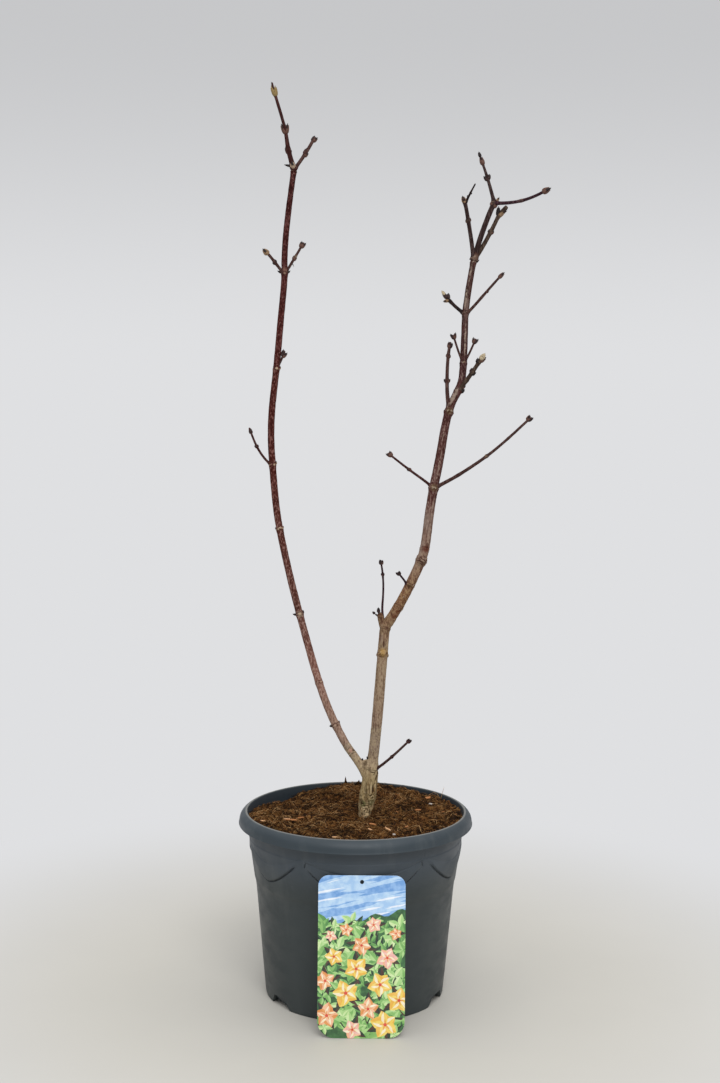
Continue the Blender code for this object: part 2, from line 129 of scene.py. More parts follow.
SWAG_HIGH = ((0.1823, 0.0134, 2.0), (0.1825, 0.0200, 2.0))  # upper edge, the same
SWAG_END = (0.95, 0.81)         # where the lower edge dies out, as a share of half the span
CREASE_DEPTH = 0.0016
CREASE_WIDTH = 0.0008
CREASE_PAINTED_SHADE = 0.55             # painted shade: how much darker a crease is
UPPER_CREASE = (0.45, 0.25)     # how deep the crease over each swag is, next to the one under it
TICK_HEIGHTS = (0.1885, 0.1958)  # a short slanting groove where two swags meet
TICK_REACH = 0.0100             # how far from the join it is looked for
TICK_WIDTH = 0.0008
TICK_DEPTH = 0.0014
TICK_SLANT = 0.3
BAND_RADIUS = 0.131
WARP = 0.00035                  # how far the wall strays from a true circle
WARP_SIZE = 0.55                # how broad those bulges are, as a share of the radius

# ---------------------------------------------------------------------------
# Peat
# ---------------------------------------------------------------------------
SOIL_LEVEL = 0.2190             # round the trunk
SOIL_FLAT_RADIUS = 0.026
SOIL_RIM_LEVEL = 0.2208
SOIL_BACK_RISE = 0.0050
SOIL_DIP = 0.0100               # the peat has sunk at the left of the back
SOIL_DIP_ANGLE = 140.0
SOIL_DIP_SPREAD = 24.0
SOIL_PRESS = 0.0004             # how far the peat's edge reaches into the wall
SOIL_EYE = 0.015                # the innermost ring's share of the radius
SOIL_RINGS = 150
SOIL_COLUMNS = 480
SOIL_LUMPS = (                  # height and size of the peat's unevenness, from heaps to grains
    (0.0028, 0.026), (0.0040, 0.0115), (0.0018, 0.0055), (0.0012, 0.0028), (0.0007, 0.0014))
SOIL_UNDER = (                  # height and radius of the peat below its surface, inside the pot
    (0.0034, 0.1000), (0.1500, 0.1200), (0.1985, 0.1282), (0.2080, 0.1305))
CRUMB_COUNT = 900
CRUMB_RINGS = 4
CRUMB_SIDES = 7
FIBRE_COUNT = 5200
LONG_FIBRES = 110               # pale fibres that stand out of the rest
FIBRE_LIMITS = (-0.02, 0.35, 0.72)  # the noise at which fibres turn brown, orange and straw
FIBRE_STEP = 0.0020
FIBRE_BEND = 75                 # degrees that a fibre may turn in 10 mm
CHIP_COUNT = 70
CHIP_SIDES = 10
CHIP_LIFT = 0.0022              # how far the big chips lie above the peat, on its fibres
EDGE_KEEP = 0.006               # fibres and chips keep this far from the wall
HEAPS = (                       # heaps and hollows: right, back, height and reach
    (-0.014, 0.121, 0.0040, 0.010), (0.005, 0.124, 0.0036, 0.012), (0.030, 0.118, 0.0022, 0.014),
    (-0.060, 0.104, 0.0020, 0.016), (-0.085, 0.062, 0.0024, 0.012), (-0.098, 0.012, 0.0022, 0.014),
    (0.060, 0.030, 0.0020, 0.015), (-0.040, -0.030, 0.0024, 0.014), (0.045, -0.070, 0.0022, 0.016),
    (-0.055, 0.045, -0.0030, 0.014), (0.020, 0.060, -0.0024, 0.016), (0.085, -0.015, -0.0022, 0.014),
    (-0.010, -0.075, 0.0020, 0.015), (-0.090, -0.045, 0.0020, 0.012))
BIG_CHIPS = (                   # right, back, length, width, turn and tint
    (-0.0790, -0.0270, 0.0170, 0.0036, 8, 1), (-0.0840, -0.0275, 0.0085, 0.0024, 8, 2),
    (-0.1130, -0.0290, 0.0085, 0.0034, -20, 2), (0.0390, -0.0700, 0.0160, 0.0036, -62, 2),
    (-0.0680, -0.0120, 0.0120, 0.0026, 30, 1), (0.0470, -0.0640, 0.0130, 0.0034, -30, 2),
    (-0.0230, -0.0960, 0.0100, 0.0040, 12, 2), (0.0620, -0.0420, 0.0110, 0.0030, 60, 1),
    (0.0949, 0.0410, 0.0046, 0.0034, 0, 3), (0.0460, -0.0890, 0.0040, 0.0026, 0, 3),
    (0.0925, 0.0640, 0.0120, 0.0060, 60, 1), (0.0210, -0.0420, 0.0100, 0.0040, -25, 1),
    (0.0780, 0.0200, 0.0090, 0.0030, 15, 1), (0.0180, -0.0560, 0.0090, 0.0030, -50, 2))
STALK_FOOT = (0.1085, 0.0700)   # a pale stalk that stands up
STALK_RISE = (0.0048, 0.0000, 0.0180)
CURL = (0.0640, -0.0740, 0.0155, 0.0310)    # middle and half axes of the arc that a pale fibre follows
CRUMB_TINTS = {"dark": (0.028, 0.013, 0.005), "brown": (0.075, 0.033, 0.011), "tan": (0.130, 0.062, 0.022)}
FIBRE_TINTS = {                 # colour and roughness
    "dark": ((0.018, 0.008, 0.003), 0.85), "brown": ((0.115, 0.047, 0.012), 0.8),
    "orange": ((0.250, 0.115, 0.036), 0.75), "straw": ((0.42, 0.25, 0.110), 0.7)}
CHIP_TINTS = {                  # the same
    "chip_brown": ((0.115, 0.052, 0.020), 0.85), "chip_orange": ((0.40, 0.170, 0.065), 0.8),
    "chip_pale": ((0.58, 0.33, 0.17), 0.8), "white_grain": ((0.58, 0.52, 0.46), 0.9)}
TUFTS = (                       # right, back, strands, half width and height
    (-0.0139, 0.1255, 34, 0.0028, 0.0135), (-0.0139, 0.1210, 26, 0.0050, 0.0070),
    (0.0035, 0.1250, 44, 0.0056, 0.0078), (0.0300, 0.1240, 14, 0.0035, 0.0036),
    (0.0421, 0.1225, 14, 0.0016, 0.0034), (-0.0600, 0.1080, 14, 0.0040, 0.0034))

# ---------------------------------------------------------------------------
# Picture card
# ---------------------------------------------------------------------------
CARD_WIDTH = 0.1016
CARD_LENGTH = 0.1880
CARD_THICKNESS = 0.0008
CARD_CENTRE = 0.0083            # to the right of the pot's middle
CARD_FOOT = -0.1570             # where its foot stands, in front of the pot
CARD_TOP_CORNER = 0.0120
CARD_FOOT_CORNER = 0.0200
CARD_HOLE = 0.0048
CARD_HOLE_DROP = 0.0076

# ---------------------------------------------------------------------------
# Limbs, as in the CAD, in mm and degrees: the parent, the distance along it, diameters at even spaces
# from the foot to the tip, and internodes as length, lean to the right and lean to the back. Turns round
# a limb are 0 at the right, 90 at the back, 180 at the left and 270 at the front.
# ---------------------------------------------------------------------------
TRUNK_FOOT = (0.012, 0.0, 0.2193)

LIMBS = {
    "trunk": (None, 0, (15.8, 20, 21.4, 19.6, 19, 18.6), ((27, 6, 0), (22, 8, -3), (19, 3, -3))),
    "right_bough": ("trunk", 63, (13.4, 12.8, 11.6, 10.8, 8.6, 7),
        ((18, 10, -3), (46, 5, -4), (46, 4, -4), (55, 4, -5), (16, 4, -5), (21, 35, -10), (30, 28, -7),
         (42, 24, -7), (19, 15, -3), (44, 6, -1), (29, 9, 1), (28, 12, 2), (64, 9, 6), (31, 28, 10),
         (15, 15, 8), (54, 2, 7), (23, 1, 9), (34, 8, 7), (32, 10, 7))),
    "left_bough": ("trunk", 48, (10.4, 9, 8.5, 8, 6.8),
        ((35, -34, 7), (15, -39, 7), (29, -29, 8), (30, -25, 7), (45, -19, 8), (74, -16, 8), (45, -15, 6),
         (59, -13, 6), (34, -9, 5), (45, -5, 2), (36, -4, 2), (38, 2, -2), (49, 7, -3), (65, 5, -5),
         (44, 6, -7), (29, -1, -6), (43, 5, -7), (61, 8, -7))),
    "fork_twig": ("trunk", 58, (3, 2.2), ((15, 53, -23), (22, 47, -16), (33, 43, -14))),
    "left_tip_twig": ("left_bough", 773, (5.2, 4.4, 3, 3, 1.4),
        ((26, -16, -7), (17, -7, -6), (12, -13, -5), (30, -17, -8), (9, -18, -5), (12, -13, -5))),
    "left_tip_side_twig": ("left_bough", 773, (3.6, 3.2), ((27, 34, 13), (23, 28, 15))),
    "left_high_twig_left": ("left_bough", 648, (3, 2.8), ((20, -38, -23), (14, -39, -21), (7, -56, -18))),
    "left_high_twig_right": ("left_bough", 648, (2.8, 2.4), ((25, 30, 19), (24, 29, 19))),
    "left_spur_twig": ("left_bough", 532, (2.4, 2.2), ((14, 29, -13), (13, 19, -12))),
    "left_low_twig": ("left_bough", 412, (2.6, 2),
        ((15, -49, 19), (18, -35, 20), (21, -24, 22), (7, -20, 18))),
    "crown_twig_middle": ("right_bough", 643, (5.2, 5), ((29, 16, 6), (29, 20, 6), (19, 24, 9))),
    "crown_twig_left": ("right_bough", 643, (4.2, 3.6),
        ((21, -8, -14), (28, -11, -14), (21, -12, -17), (7, -30, -17))),
    "crown_twig_right": ("right_bough", 643, (4.4, 3.8),
        ((14, 35, 16), (30, 29, 16), (24, 25, 14), (14, 46, 8))),
    "crown_dead_twig": ("crown_twig_left", 69, (2.2, 1.4), ((15, 26, -11), (12, 28, -15))),
    "crown_twig_outer": ("crown_twig_middle", 74, (3.6, 3, 2.8),
        ((10, 97, -24), (21, 86, -22), (19, 73, -18), (21, 63, -17))),
    "crown_twig_back": ("crown_twig_middle", 74, (3.8, 3, 2),
        ((19, -14, 16), (14, -16, 12), (22, -18, 13), (10, -21, 11))),
    "right_high_twig_left": ("right_bough", 577, (3.4, 3.2), ((15, -52, 16), (13, -44, 17), (9, -39, 14))),
    "right_high_twig_right": ("right_bough", 577, (3, 2.2), ((11, 47, -26), (30, 40, -18), (27, 41, -17))),
    "right_pair_twig_left": ("right_bough", 517, (2.2, 2), ((17, -23, -13), (23, -19, -15))),
    "right_pair_twig_right": ("right_bough", 517, (2.2, 2), ((14, 30, 16), (22, 24, 16))),
    "right_stout_twig": ("right_bough", 482, (4.2, 3.8), ((18, 37, -13), (16, 33, -17), (21, 32, -15))),
    "right_upright_twig": ("right_bough", 458, (4.2, 3.4, 3),
        ((19, -7, 18), (19, -1, 19), (27, 2, 15), (21, 9, 14))),
    "right_outer_twig": ("right_bough", 363, (3.8, 3.2, 2.6, 2.4),
        ((12, 62, -20), (26, 59, -20), (41, 54, -19), (33, 48, -13), (38, 45, -13))),
    "right_inner_twig": ("right_bough", 363, (2.8, 2), ((12, -50, 31), (32, -56, 30), (33, -53, 25))),
    "right_low_upright_twig": ("right_bough", 180, (2.6, 2, 1.8),
        ((20, -15, -18), (27, 4, -12), (21, -2, -14), (20, -9, -15))),
    "right_low_short_twig": ("right_bough", 238, (2.2, 1.8), ((13, -32, -27), (14, -39, -22))),
}
MAIN_LIMBS = ("trunk", "right_bough", "left_bough")
TWIGS = [name for name in LIMBS if name not in MAIN_LIMBS]
BARK_STEP = 0.00078             # spacing of the rings of points on the main limbs
TWIG_STEP = 0.0009              # and on the twigs

# Nodes: distance in mm, how far the limb swells in mm, and how pale its ring is
NODES = {
    "right_bough": ((147, 0.8, 0.35), (180, 0.5, 0), (212, 0.4, 0), (242, 0.4, 0.1), (275, 1.1, 0.2),
        (290, 0.3, 0), (364, 1.25, 0.45), (457, 1.5, 0.3), (484, 0.5, 0.2), (519, 0.5, 0.3),
        (579, 0.6, 0.2), (641, 0.5, 0.4)),
    "left_bough": ((40, 0.2, 0.2), (80, 0.6, 0.1), (137, 0.5, 0.3), (225, 0.7, 0.2), (334, 0.5, 0.9),
        (414, 0.5, 0.6), (533, 0.5, 0.7), (650, 0.6, 0.3), (772, 0.6, 0.3)),
    "fork_twig": ((37, 0.3, 0.1),),
    "left_tip_twig": ((8, 0.3, 0.2), (25, 0.5, 0.1), (53, 0.4, 0.1), (90, 0.5, 0)),
    "left_tip_side_twig": ((25, 0.4, 0.1),),
    "left_high_twig_left": ((21, 0.4, 0.1),),
    "left_high_twig_right": ((27, 0.5, 0.5),),
    "left_low_twig": ((34, 0.3, 0.1),),
    "crown_twig_left": ((49, 0.4, 0.3), (72, 0.5, 0.1)),
    "crown_dead_twig": ((8, 0.2, 0), (15, 0.2, 0)),
    "crown_twig_middle": ((74, 0.6, 0.6),),
    "crown_twig_outer": ((34, 0.4, 0.6),),
    "crown_twig_back": ((34, 0.4, 0.1), (54, 0.3, 0.1)),
    "crown_twig_right": ((43, 0.4, 0.2), (66, 0.4, 0.1)),
    "right_high_twig_left": ((26, 0.4, 0.2),),
    "right_high_twig_right": ((30, 0.2, 0.1),),
    "right_stout_twig": ((20, 0.4, 0.2), (32, 0.5, 0.2), (46, 0.5, 0.3)),
    "right_upright_twig": ((38, 0.5, 0.1), (70, 0.4, 0.1)),
    "right_outer_twig": ((36, 0.2, 0), (78, 0.4, 0.6), (112, 0.2, 0.1)),
    "right_inner_twig": ((42, 0.3, 0.2),),
    "right_low_upright_twig": ((70, 0.3, 0.1),),
}

TRUNK_STUB = 0.060              # how much of each bough is modelled in one with the trunk
STUB_OVERLAP = 0.012
BOUGH_START = 0.020             # where a bough's own bark begins, inside that skin

NODE_SLANT = -0.9               # mm by which a node's ring dips at the front and the back
NODE_REACH = 17                 # mm; beyond it a node changes nothing
STUB_SINK = 0.00035             # how far one bark skin sinks under the other where they overlap
FORK_VOXEL = 0.00045
OLD_BARK_WIDTH = 9.0            # mm; thinner limbs have weaker relief
OLD_BARK_HEIGHTS = (0.250, 0.285)   # the trunk's old bark fades out between these
FOOT_CRACK_HEIGHTS = (0.236, 0.250)
WRINKLE_STEP = 1.9              # mm from one wrinkle to the next
STREAK_LENGTH = 12              # mm; marks with a longer half are ragged streaks

# Crowded rings of bark: distance, spread and depth in mm
WRINKLES = {
    "right_bough": ((275, 4.5, 0.42), (180, 3, 0.15), (147, 3, 0.12), (457, 2.5, 0.15)),
    "left_bough": ((225, 2.5, 0.12),),
}

# Knots, scars, cracks and streaks: distance in mm, turn, half the length and half the width in mm, tilt
# from the limb's line, how far it stands out in mm, and how pale (above 0) or dark (below 0) it is
MARKS = {
    "trunk": ((26, 205, 6, 5, 0, 0.7, 0.1), (19, 228, 0.9, 4.5, 0, -0.5, -0.8),
        (38, 298, 7.5, 1.3, -6, -1, -0.9), (40, 283, 9, 1.7, -4, 0.6, 0.4), (41, 318, 10, 2, -4, 0.8, 0.35),
        (43, 338, 9, 1.1, -6, -0.6, -0.8), (60, 286, 0.8, 5, 8, -0.5, -0.95),
        (62, 284, 0.9, 5.5, 8, 0.45, 0.5), (58, 300, 0.8, 3, -25, -0.4, -0.8),
        # The dark dip at 53 mm, turn 322, is painted shade under the knot at 59 mm.
        (59, 330, 2.4, 2.6, 0, 0.9, -0.85), (53, 322, 5, 2.4, 12, -0.4, -0.75),
        (49, 190, 1.7, 1.7, 0, 0.6, -0.5), (31, 290, 3.4, 0.6, 60, -0.6, -1),
        (28, 301, 3.2, 0.6, 55, -0.6, -1), (33, 314, 3, 0.6, 60, -0.6, -1),
        (25, 312, 3.4, 0.6, 70, -0.5, -0.9), (24, 288, 3.6, 0.7, 65, -0.5, -0.9),
        (30, 296, 3.2, 0.7, 58, 0.4, 0.8), (26, 306, 3.2, 0.7, 62, 0.4, 0.8),
        (22, 296, 3.6, 0.6, 60, 0.35, 0.6), (30, 250, 5, 0.7, 12, -0.4, -0.6),
        (34, 262, 6, 0.8, 8, 0.35, 0.35), (17, 262, 0.8, 6, -8, -0.5, -0.9),
        (15, 262, 0.9, 6, -8, 0.45, 0.9), (10, 256, 3.4, 2.6, 0, 0.4, 0.6),
        (10, 256, 2.2, 1.4, 0, -0.6, -0.95), (12, 279, 3.2, 2.2, 0, 0.4, 0.6),
        (12, 279, 2.2, 1.1, 0, -0.6, -0.95), (9, 303, 3.2, 0.9, 10, -0.5, -0.8),
        (5, 262, 0.7, 5, 5, -0.35, -0.5), (66, 262, 3, 0.7, 30, -0.3, -0.7),
        (66, 247, 3, 0.7, -30, -0.3, -0.7)),
    "right_bough": ((150, 285, 3.4, 2.6, 0, 0.6, 0.9), (149, 250, 3, 2.4, 0, 0.5, 0.45),
        (144, 262, 1, 6, 0, -0.4, -0.85), (151, 267, 3, 0.9, 10, -0.4, -0.9),
        (148, 248, 1.2, 1.2, 0, -0.3, -0.9), (148, 318, 3, 1, -10, -0.3, -0.8),
        (144, 0, 1.9, 1.9, 0, 0.9, -0.3), (144, 180, 1.9, 1.9, 0, 0.9, -0.3),
        (160, 274, 6.5, 1.4, -3, -0.2, -1), (168, 212, 13, 1.6, 0, -0.1, -0.7),
        (166, 245, 9, 2, 2, 0.1, 0.35), (181, 280, 0.8, 4, 8, -0.35, -0.8),
        (178, 300, 0.7, 2.6, -20, -0.25, -0.6), (179, 200, 3, 1.6, 0, 0.3, -0.9),
        (210, 330, 2, 1.8, 0, 0.6, 0.9), (208, 306, 1.2, 2.2, 30, -0.4, -0.9),
        (226, 262, 1, 1.1, 0, 0.2, 0.9), (244, 306, 1.5, 1.2, 0, 0.4, 0.9),
        (240, 262, 1.4, 3.2, 60, -0.2, -0.8), (274, 270, 0.8, 6, 24, -0.5, -1),
        (278, 258, 0.8, 5, 30, -0.5, -1), (271, 292, 0.8, 4.5, 20, -0.45, -1),
        (276, 282, 0.8, 5, 25, 0.3, 0.6), (281, 285, 0.7, 4, 25, -0.35, -0.8),
        (271, 352, 2.8, 2.8, 0, 0.9, -0.3), (278, 178, 2.4, 2.4, 0, 0.6, -0.2),
        (150, 272, 4.2, 3.4, 0, 0.6, 0.1), (276, 12, 4.5, 5, 0, 1, -0.2), (190, 0, 7, 5, 0, 0.7, 0.1),
        # From about 300 mm up, the long pale streaks down the front and left are painted light, and the
        # dark ones down both sides painted shade.
        (336, 296, 24, 1.6, 0, 0.1, 0.45), (308, 294, 14, 2.6, 0, 0.1, 0.4),
        (392, 276, 26, 1.5, 0, 0.1, 0.4), (430, 262, 19, 1.2, 0, 0.1, 0.35), (500, 262, 9, 1, 0, 0.1, 0.3),
        (546, 276, 26, 1.5, 0, 0.1, 0.7), (598, 240, 19, 2, 0, 0.1, 0.7), (626, 246, 16, 1.8, 0, 0.1, 0.6),
        (405, 335, 34, 2.8, 0, -0.1, -0.75), (405, 207, 34, 2.6, 0, -0.1, -0.75),
        (548, 212, 27, 2.4, 0, -0.1, -0.9), (548, 332, 27, 2.4, 0, -0.1, -0.9),
        (605, 318, 30, 2.2, 0, -0.1, -0.85), (479, 252, 15, 3.6, 0, 0.1, 0.6),
        (364, 261, 2.6, 0.8, 45, 0.35, 0.9), (364, 284, 2.6, 0.8, -45, 0.35, 0.9),
        (362, 272, 1.3, 1.3, 0, 0.2, -0.8), (367, 270, 1.6, 2.6, 0, -0.2, -0.5),
        (457, 254, 2.6, 1, 35, 0.45, 0.9), (458, 292, 1.8, 2.2, 0, 0.4, 0.6),
        (455, 268, 1.5, 0.9, 0, -0.3, -0.9), (472, 236, 17, 3.6, 0, 0.1, 0.6),
        (484, 330, 1.4, 3.2, 0, 0.5, -0.9), (519, 262, 2.4, 0.8, 40, 0.3, 0.9),
        (579, 262, 2.2, 0.8, 40, 0.3, 0.8), (641, 262, 2.2, 0.8, 35, 0.3, 0.7)),
    "left_bough": ((43, 272, 2.4, 3, 0, 0.4, 0.2), (41, 325, 1.6, 1.8, 0, -0.4, -1),
        (47, 268, 0.6, 4.4, -20, -0.3, -0.7), (80, 262, 1.4, 2.8, 0, 0.25, 0.4),
        (137, 300, 1.8, 1.8, 0, 0.3, 0.6), (225, 275, 2, 2.6, 0, 0.3, 0.9),
        (334, 258, 2.4, 0.9, 35, 0.35, 1), (335, 285, 1.6, 1.8, 0, 0.3, 0.8),
        (414, 300, 2, 1.6, 0, 0.35, 0.9), (534, 275, 2.2, 2.2, 0, 0.3, 0.9),
        (650, 275, 1.8, 2, 0, 0.2, 0.4)),
}

FOOT_TAPER = (0.0030, 0.028)    # how much the trunk narrows at the right of its foot, and over what height
CROTCH = ((0.0122, 0.0, 0.2862), 0.0062)    # middle and radius of the lump that fills the crotch
CROTCH_PAINTED_SHADE = (0.0116, -0.0050, 0.2890)    # middle of the lump's dark patch, painted shade in the crotch
BOUGH_FLARE = {"right_bough": (0.0026, 0.009), "left_bough": (0.0022, 0.013)}   # extra radius at the fork
TRUNK_DOME = 0.012              # the trunk's end is rounded off over this length, inside the boughs' feet
SHOULDER = (0.0200, 0.0078, 0.0028)  # length and width of the stump beside the right bough, and its offset
CROWN_KNOB = (0.0105, 0.0094, 0.0)  # the same for the knob under the crown's twigs
# Buds on stalks, in mm and degrees: limb, distance, turn, lean, the stalk's length and width, the bud's
# length and width, and how far out of the bark the stalk starts
STALKED_BUDS = (
    ("right_low_upright_twig", 15, 182, 40, 6.2, 2.0, 4.6, 3.2, 3.8),
    ("right_low_upright_twig", 17, 186, -4, 3.6, 2.2, 7.6, 4.0, 3.6))

BARK_LOW = (0.285, 0.212, 0.148)    # where the trunk's bark meets the boughs'
TWIG_FULLNESS = 1.25            # the bark's relief makes the twigs this much thicker than in the CAD
TWIG_DOME = 0.0014              # a twig's tip is rounded off over this length
COLLAR = 0.0008                 # how much thicker a twig is where it leaves its parent
COLLAR_REACH = 0.0026

TWIG_TINTS = {                  # two tones that each twig's bark drifts between
    "brown": ((0.044, 0.02, 0.017), (0.092, 0.05, 0.042)),
    "maroon": ((0.032, 0.01, 0.009), (0.072, 0.028, 0.024)),
    "purple": ((0.024, 0.009, 0.013), (0.06, 0.03, 0.034)),
    "dark": ((0.024, 0.013, 0.012), (0.062, 0.039, 0.035)),
    "olive": ((0.036, 0.022, 0.016), (0.084, 0.058, 0.042)),
    "black": ((0.013, 0.008, 0.008), (0.03, 0.018, 0.016))}
TWIGS_OF_TINT = {               # the other twigs are brown
    "maroon": ("left_tip_twig", "left_low_twig", "right_inner_twig"),
    "dark": ("crown_twig_left", "crown_twig_middle", "crown_twig_back"),
    "black": ("crown_dead_twig", "right_high_twig_left"),
    "purple": ("crown_twig_outer", "right_low_upright_twig", "right_low_short_twig"),
    "olive": ("crown_twig_right", "right_stout_twig"),
}

BUD_FULLNESS = 1.16             # the scales' edges make the buds this much wider than their cores
FOOT_POWER = 0.55               # how a scale's outline closes towards its foot and its tip
TIP_POWER = 1.15
BULGE = 2.915                   # brings the widest place of that outline to 1
BUD_TINTS = {
    "black": (0.012, 0.007, 0.007), "dark": (0.03, 0.013, 0.011), "maroon": (0.056, 0.018, 0.016),
    "brown": (0.092, 0.043, 0.03), "tan": (0.21, 0.13, 0.07), "green": (0.205, 0.14, 0.052),
    "grey": (0.25, 0.18, 0.125), "cream": (0.37, 0.3, 0.195)}

TIP_BUD_LENGTH = 1.08

# Buds beside a limb: distance in mm, turn, lean from the limb's line, length and width in mm, and tint
SIDE_BUDS = {
    "left_tip_twig": ((21, 0, 25, 4, 2.4, "black"), (20, 180, 10, 10, 3.6, "maroon"),
        (43, 180, 14, 14, 4.2, "brown"), (43, 0, 17, 13.5, 4, "brown"), (2, 280, 12, 10, 5.6, "grey")),
    "left_tip_side_twig": ((21, 0, 22, 7, 4.2, "brown"), (23, 180, 12, 9.5, 3.8, "maroon")),
    "left_high_twig_left": ((19, 0, 25, 4.6, 3.6, "dark"), (18, 180, 40, 4.2, 3.6, "dark")),
    "left_high_twig_right": ((22, 0, 12, 7, 3.6, "brown"), (23, 180, 12, 7, 3.6, "brown")),
    "left_low_twig": ((32, 180, 28, 4.6, 3, "dark"), (32, 0, 28, 4.2, 2.8, "dark")),
    "left_bough": ((225, 0, 28, 4.6, 3.4, "dark"), (414, 0, 26, 4.4, 3.4, "tan"),
        (533, 0, 26, 4.2, 3.2, "tan"), (80, 0, 34, 3.6, 2.6, "brown"), (80, 180, 34, 3.6, 2.6, "dark"),
        (334, 0, 30, 3.2, 2.4, "tan"), (334, 180, 30, 3.2, 2.4, "dark")),
    "crown_twig_left": ((47, 0, 28, 4.8, 3.6, "brown"), (46, 180, 26, 4.8, 3.6, "brown")),
    "crown_dead_twig": ((13, 0, 40, 2.8, 1.8, "black"), (8, 180, 40, 2.6, 1.8, "black")),
    "crown_twig_back": ((29, 180, 28, 8, 4, "dark"), (30, 0, 30, 8, 4, "dark"),
        (49, 0, 3, 13, 4.8, "brown")),
    "crown_twig_middle": ((68, 0, 16, 10, 5.4, "brown"), (69, 180, 8, 9, 5, "brown"),
        (74, 0, 8, 9.5, 2.8, "tan")),
    "crown_twig_outer": ((31, 180, 20, 4.6, 3, "maroon"),),
    "crown_twig_right": ((40, 0, 26, 5.6, 4, "brown"), (40, 180, 24, 5.2, 3.6, "dark"),
        (64, 180, 24, 14, 4, "black")),
    "right_high_twig_right": ((38, 0, 22, 3.6, 2.4, "maroon"),),
    "right_stout_twig": ((8, 0, 26, 5.4, 4, "brown"), (28, 0, 32, 6.4, 4.4, "black"),
        (30, 180, 28, 6.2, 4.4, "dark"), (44, 180, 38, 6.4, 4.8, "black")),
    "right_upright_twig": ((35, 0, 34, 5.6, 3.2, "brown"), (35, 180, 34, 5.6, 3.2, "dark"),
        (66, 0, 22, 5, 3.8, "brown"), (67, 180, 22, 4.4, 3.4, "brown")),
    "right_outer_twig": ((76, 180, 24, 4, 2.6, "tan"), (76, 0, 24, 3.6, 2.4, "dark")),
    "right_inner_twig": ((39, 0, 26, 4.6, 3.2, "brown"), (40, 180, 24, 4, 2.8, "dark")),
    "right_low_upright_twig": ((68, 0, 24, 4, 2.6, "dark"), (68, 180, 24, 4, 2.6, "maroon")),
    "right_bough": ((484, 0, 38, 6.4, 5, "black"), (364, 275, 20, 3, 3, "tan"),
        (519, 270, 16, 3.4, 2.8, "tan"), (579, 265, 18, 3.4, 2.8, "brown")),
    "fork_twig": ((34, 0, 22, 4, 2.6, "maroon"), (35, 180, 22, 4, 2.6, "maroon"),
        (20, 270, 16, 3.2, 2.2, "maroon")),
}

# Buds at a limb's tip, the same way
TIP_BUDS = {
    "left_tip_twig": ((88, 180, 6, 13.5, 4.2, "green"), (88, 0, 14, 12.5, 4.4, "green")),
    "left_tip_side_twig": ((43, 180, 8, 8, 4.4, "dark"), (43, 0, 24, 8, 4.6, "brown")),
    "left_high_twig_left": ((33, 180, 2, 9.6, 6, "tan"),),
    "left_high_twig_right": ((41, 180, 18, 9, 4.2, "brown"), (41, 0, 18, 9, 4.2, "brown")),
    "left_spur_twig": ((18, 180, 12, 9.5, 4, "dark"), (17, 0, 26, 8.5, 4, "brown")),
    "left_low_twig": ((52, 0, 3, 8.4, 4, "dark"),),
    "crown_twig_left": ((70, 180, 4, 9, 4.8, "tan"),),
    "crown_twig_outer": ((61, 180, 3, 11.5, 6.2, "brown"),),
    "crown_twig_right": ((64, 0, 12, 13.5, 5.2, "tan"), (66, 0, 20, 13, 3.6, "dark")),
    "crown_twig_back": ((60, 0, 3, 7, 3.2, "black"),),
    "right_high_twig_left": ((30, 180, 2, 9.5, 4.4, "dark"), (29, 0, 42, 8, 4, "dark"),
        (34, 0, 4, 8, 3.2, "cream"), (27, 180, 66, 7.6, 3.4, "tan")),
    "right_high_twig_right": ((60, 0, 3, 10, 4, "brown"),),
    "right_pair_twig_left": ((33, 180, 22, 8.4, 3.2, "dark"), (33, 0, 24, 8.4, 3.2, "brown")),
    "right_pair_twig_right": ((29, 180, 24, 8.4, 3.2, "brown"), (29, 0, 22, 8.4, 3.2, "dark")),
    "right_stout_twig": ((49, 0, 2, 9.6, 5.4, "cream"), (46, 0, 24, 9.6, 5, "brown")),
    "right_upright_twig": ((78, 180, 14, 8, 3.8, "brown"), (78, 0, 24, 7.6, 3.6, "dark")),
    "right_outer_twig": ((142, 180, 26, 8, 4.2, "brown"), (142, 0, 22, 7.8, 4, "dark")),
    "right_inner_twig": ((70, 0, 26, 8.6, 3.6, "brown"), (70, 180, 20, 8.4, 3.6, "brown")),
    "right_low_upright_twig": ((82, 180, 8, 6.8, 4, "dark"), (82, 0, 22, 6, 3.4, "brown")),
    "right_low_short_twig": ((22, 180, 24, 6, 3.2, "dark"), (22, 0, 24, 6, 3.2, "dark")),
    "fork_twig": ((64, 0, 18, 6.6, 3.8, "maroon"), (64, 180, 18, 6.4, 3.8, "maroon")),
}

# Dead spurs and bud stalks: distance in mm, turn, lean, and length and width in mm
THORNS = {
    "left_bough": ((225, 180, 62, 5.5, 3), (650, 182, 66, 6.5, 3), (650, 350, 52, 5.5, 3),
        (25, 350, 50, 4, 3), (20, 345, 30, 5.4, 3), (80, 182, 60, 4.4, 3)),
    "left_tip_twig": ((5, 182, 62, 9, 3.2), (96, 180, 2, 10.5, 2)),
    "right_bough": ((12, 205, 40, 4.6, 3), (641, 5, 40, 6, 3)),
    "crown_twig_middle": ((75, 180, 30, 8, 3.4),),
    "left_high_twig_right": ((18, 0, 130, 6, 1),),
}

CARD_GAP = 0.0003               # between the card's top edge and the pot
CLOUDS = 30
CLOUD_SLANT = 0.20              # radians
HILL_HALF = 0.052               # half the hill's width
LEAF_WHORLS = 96
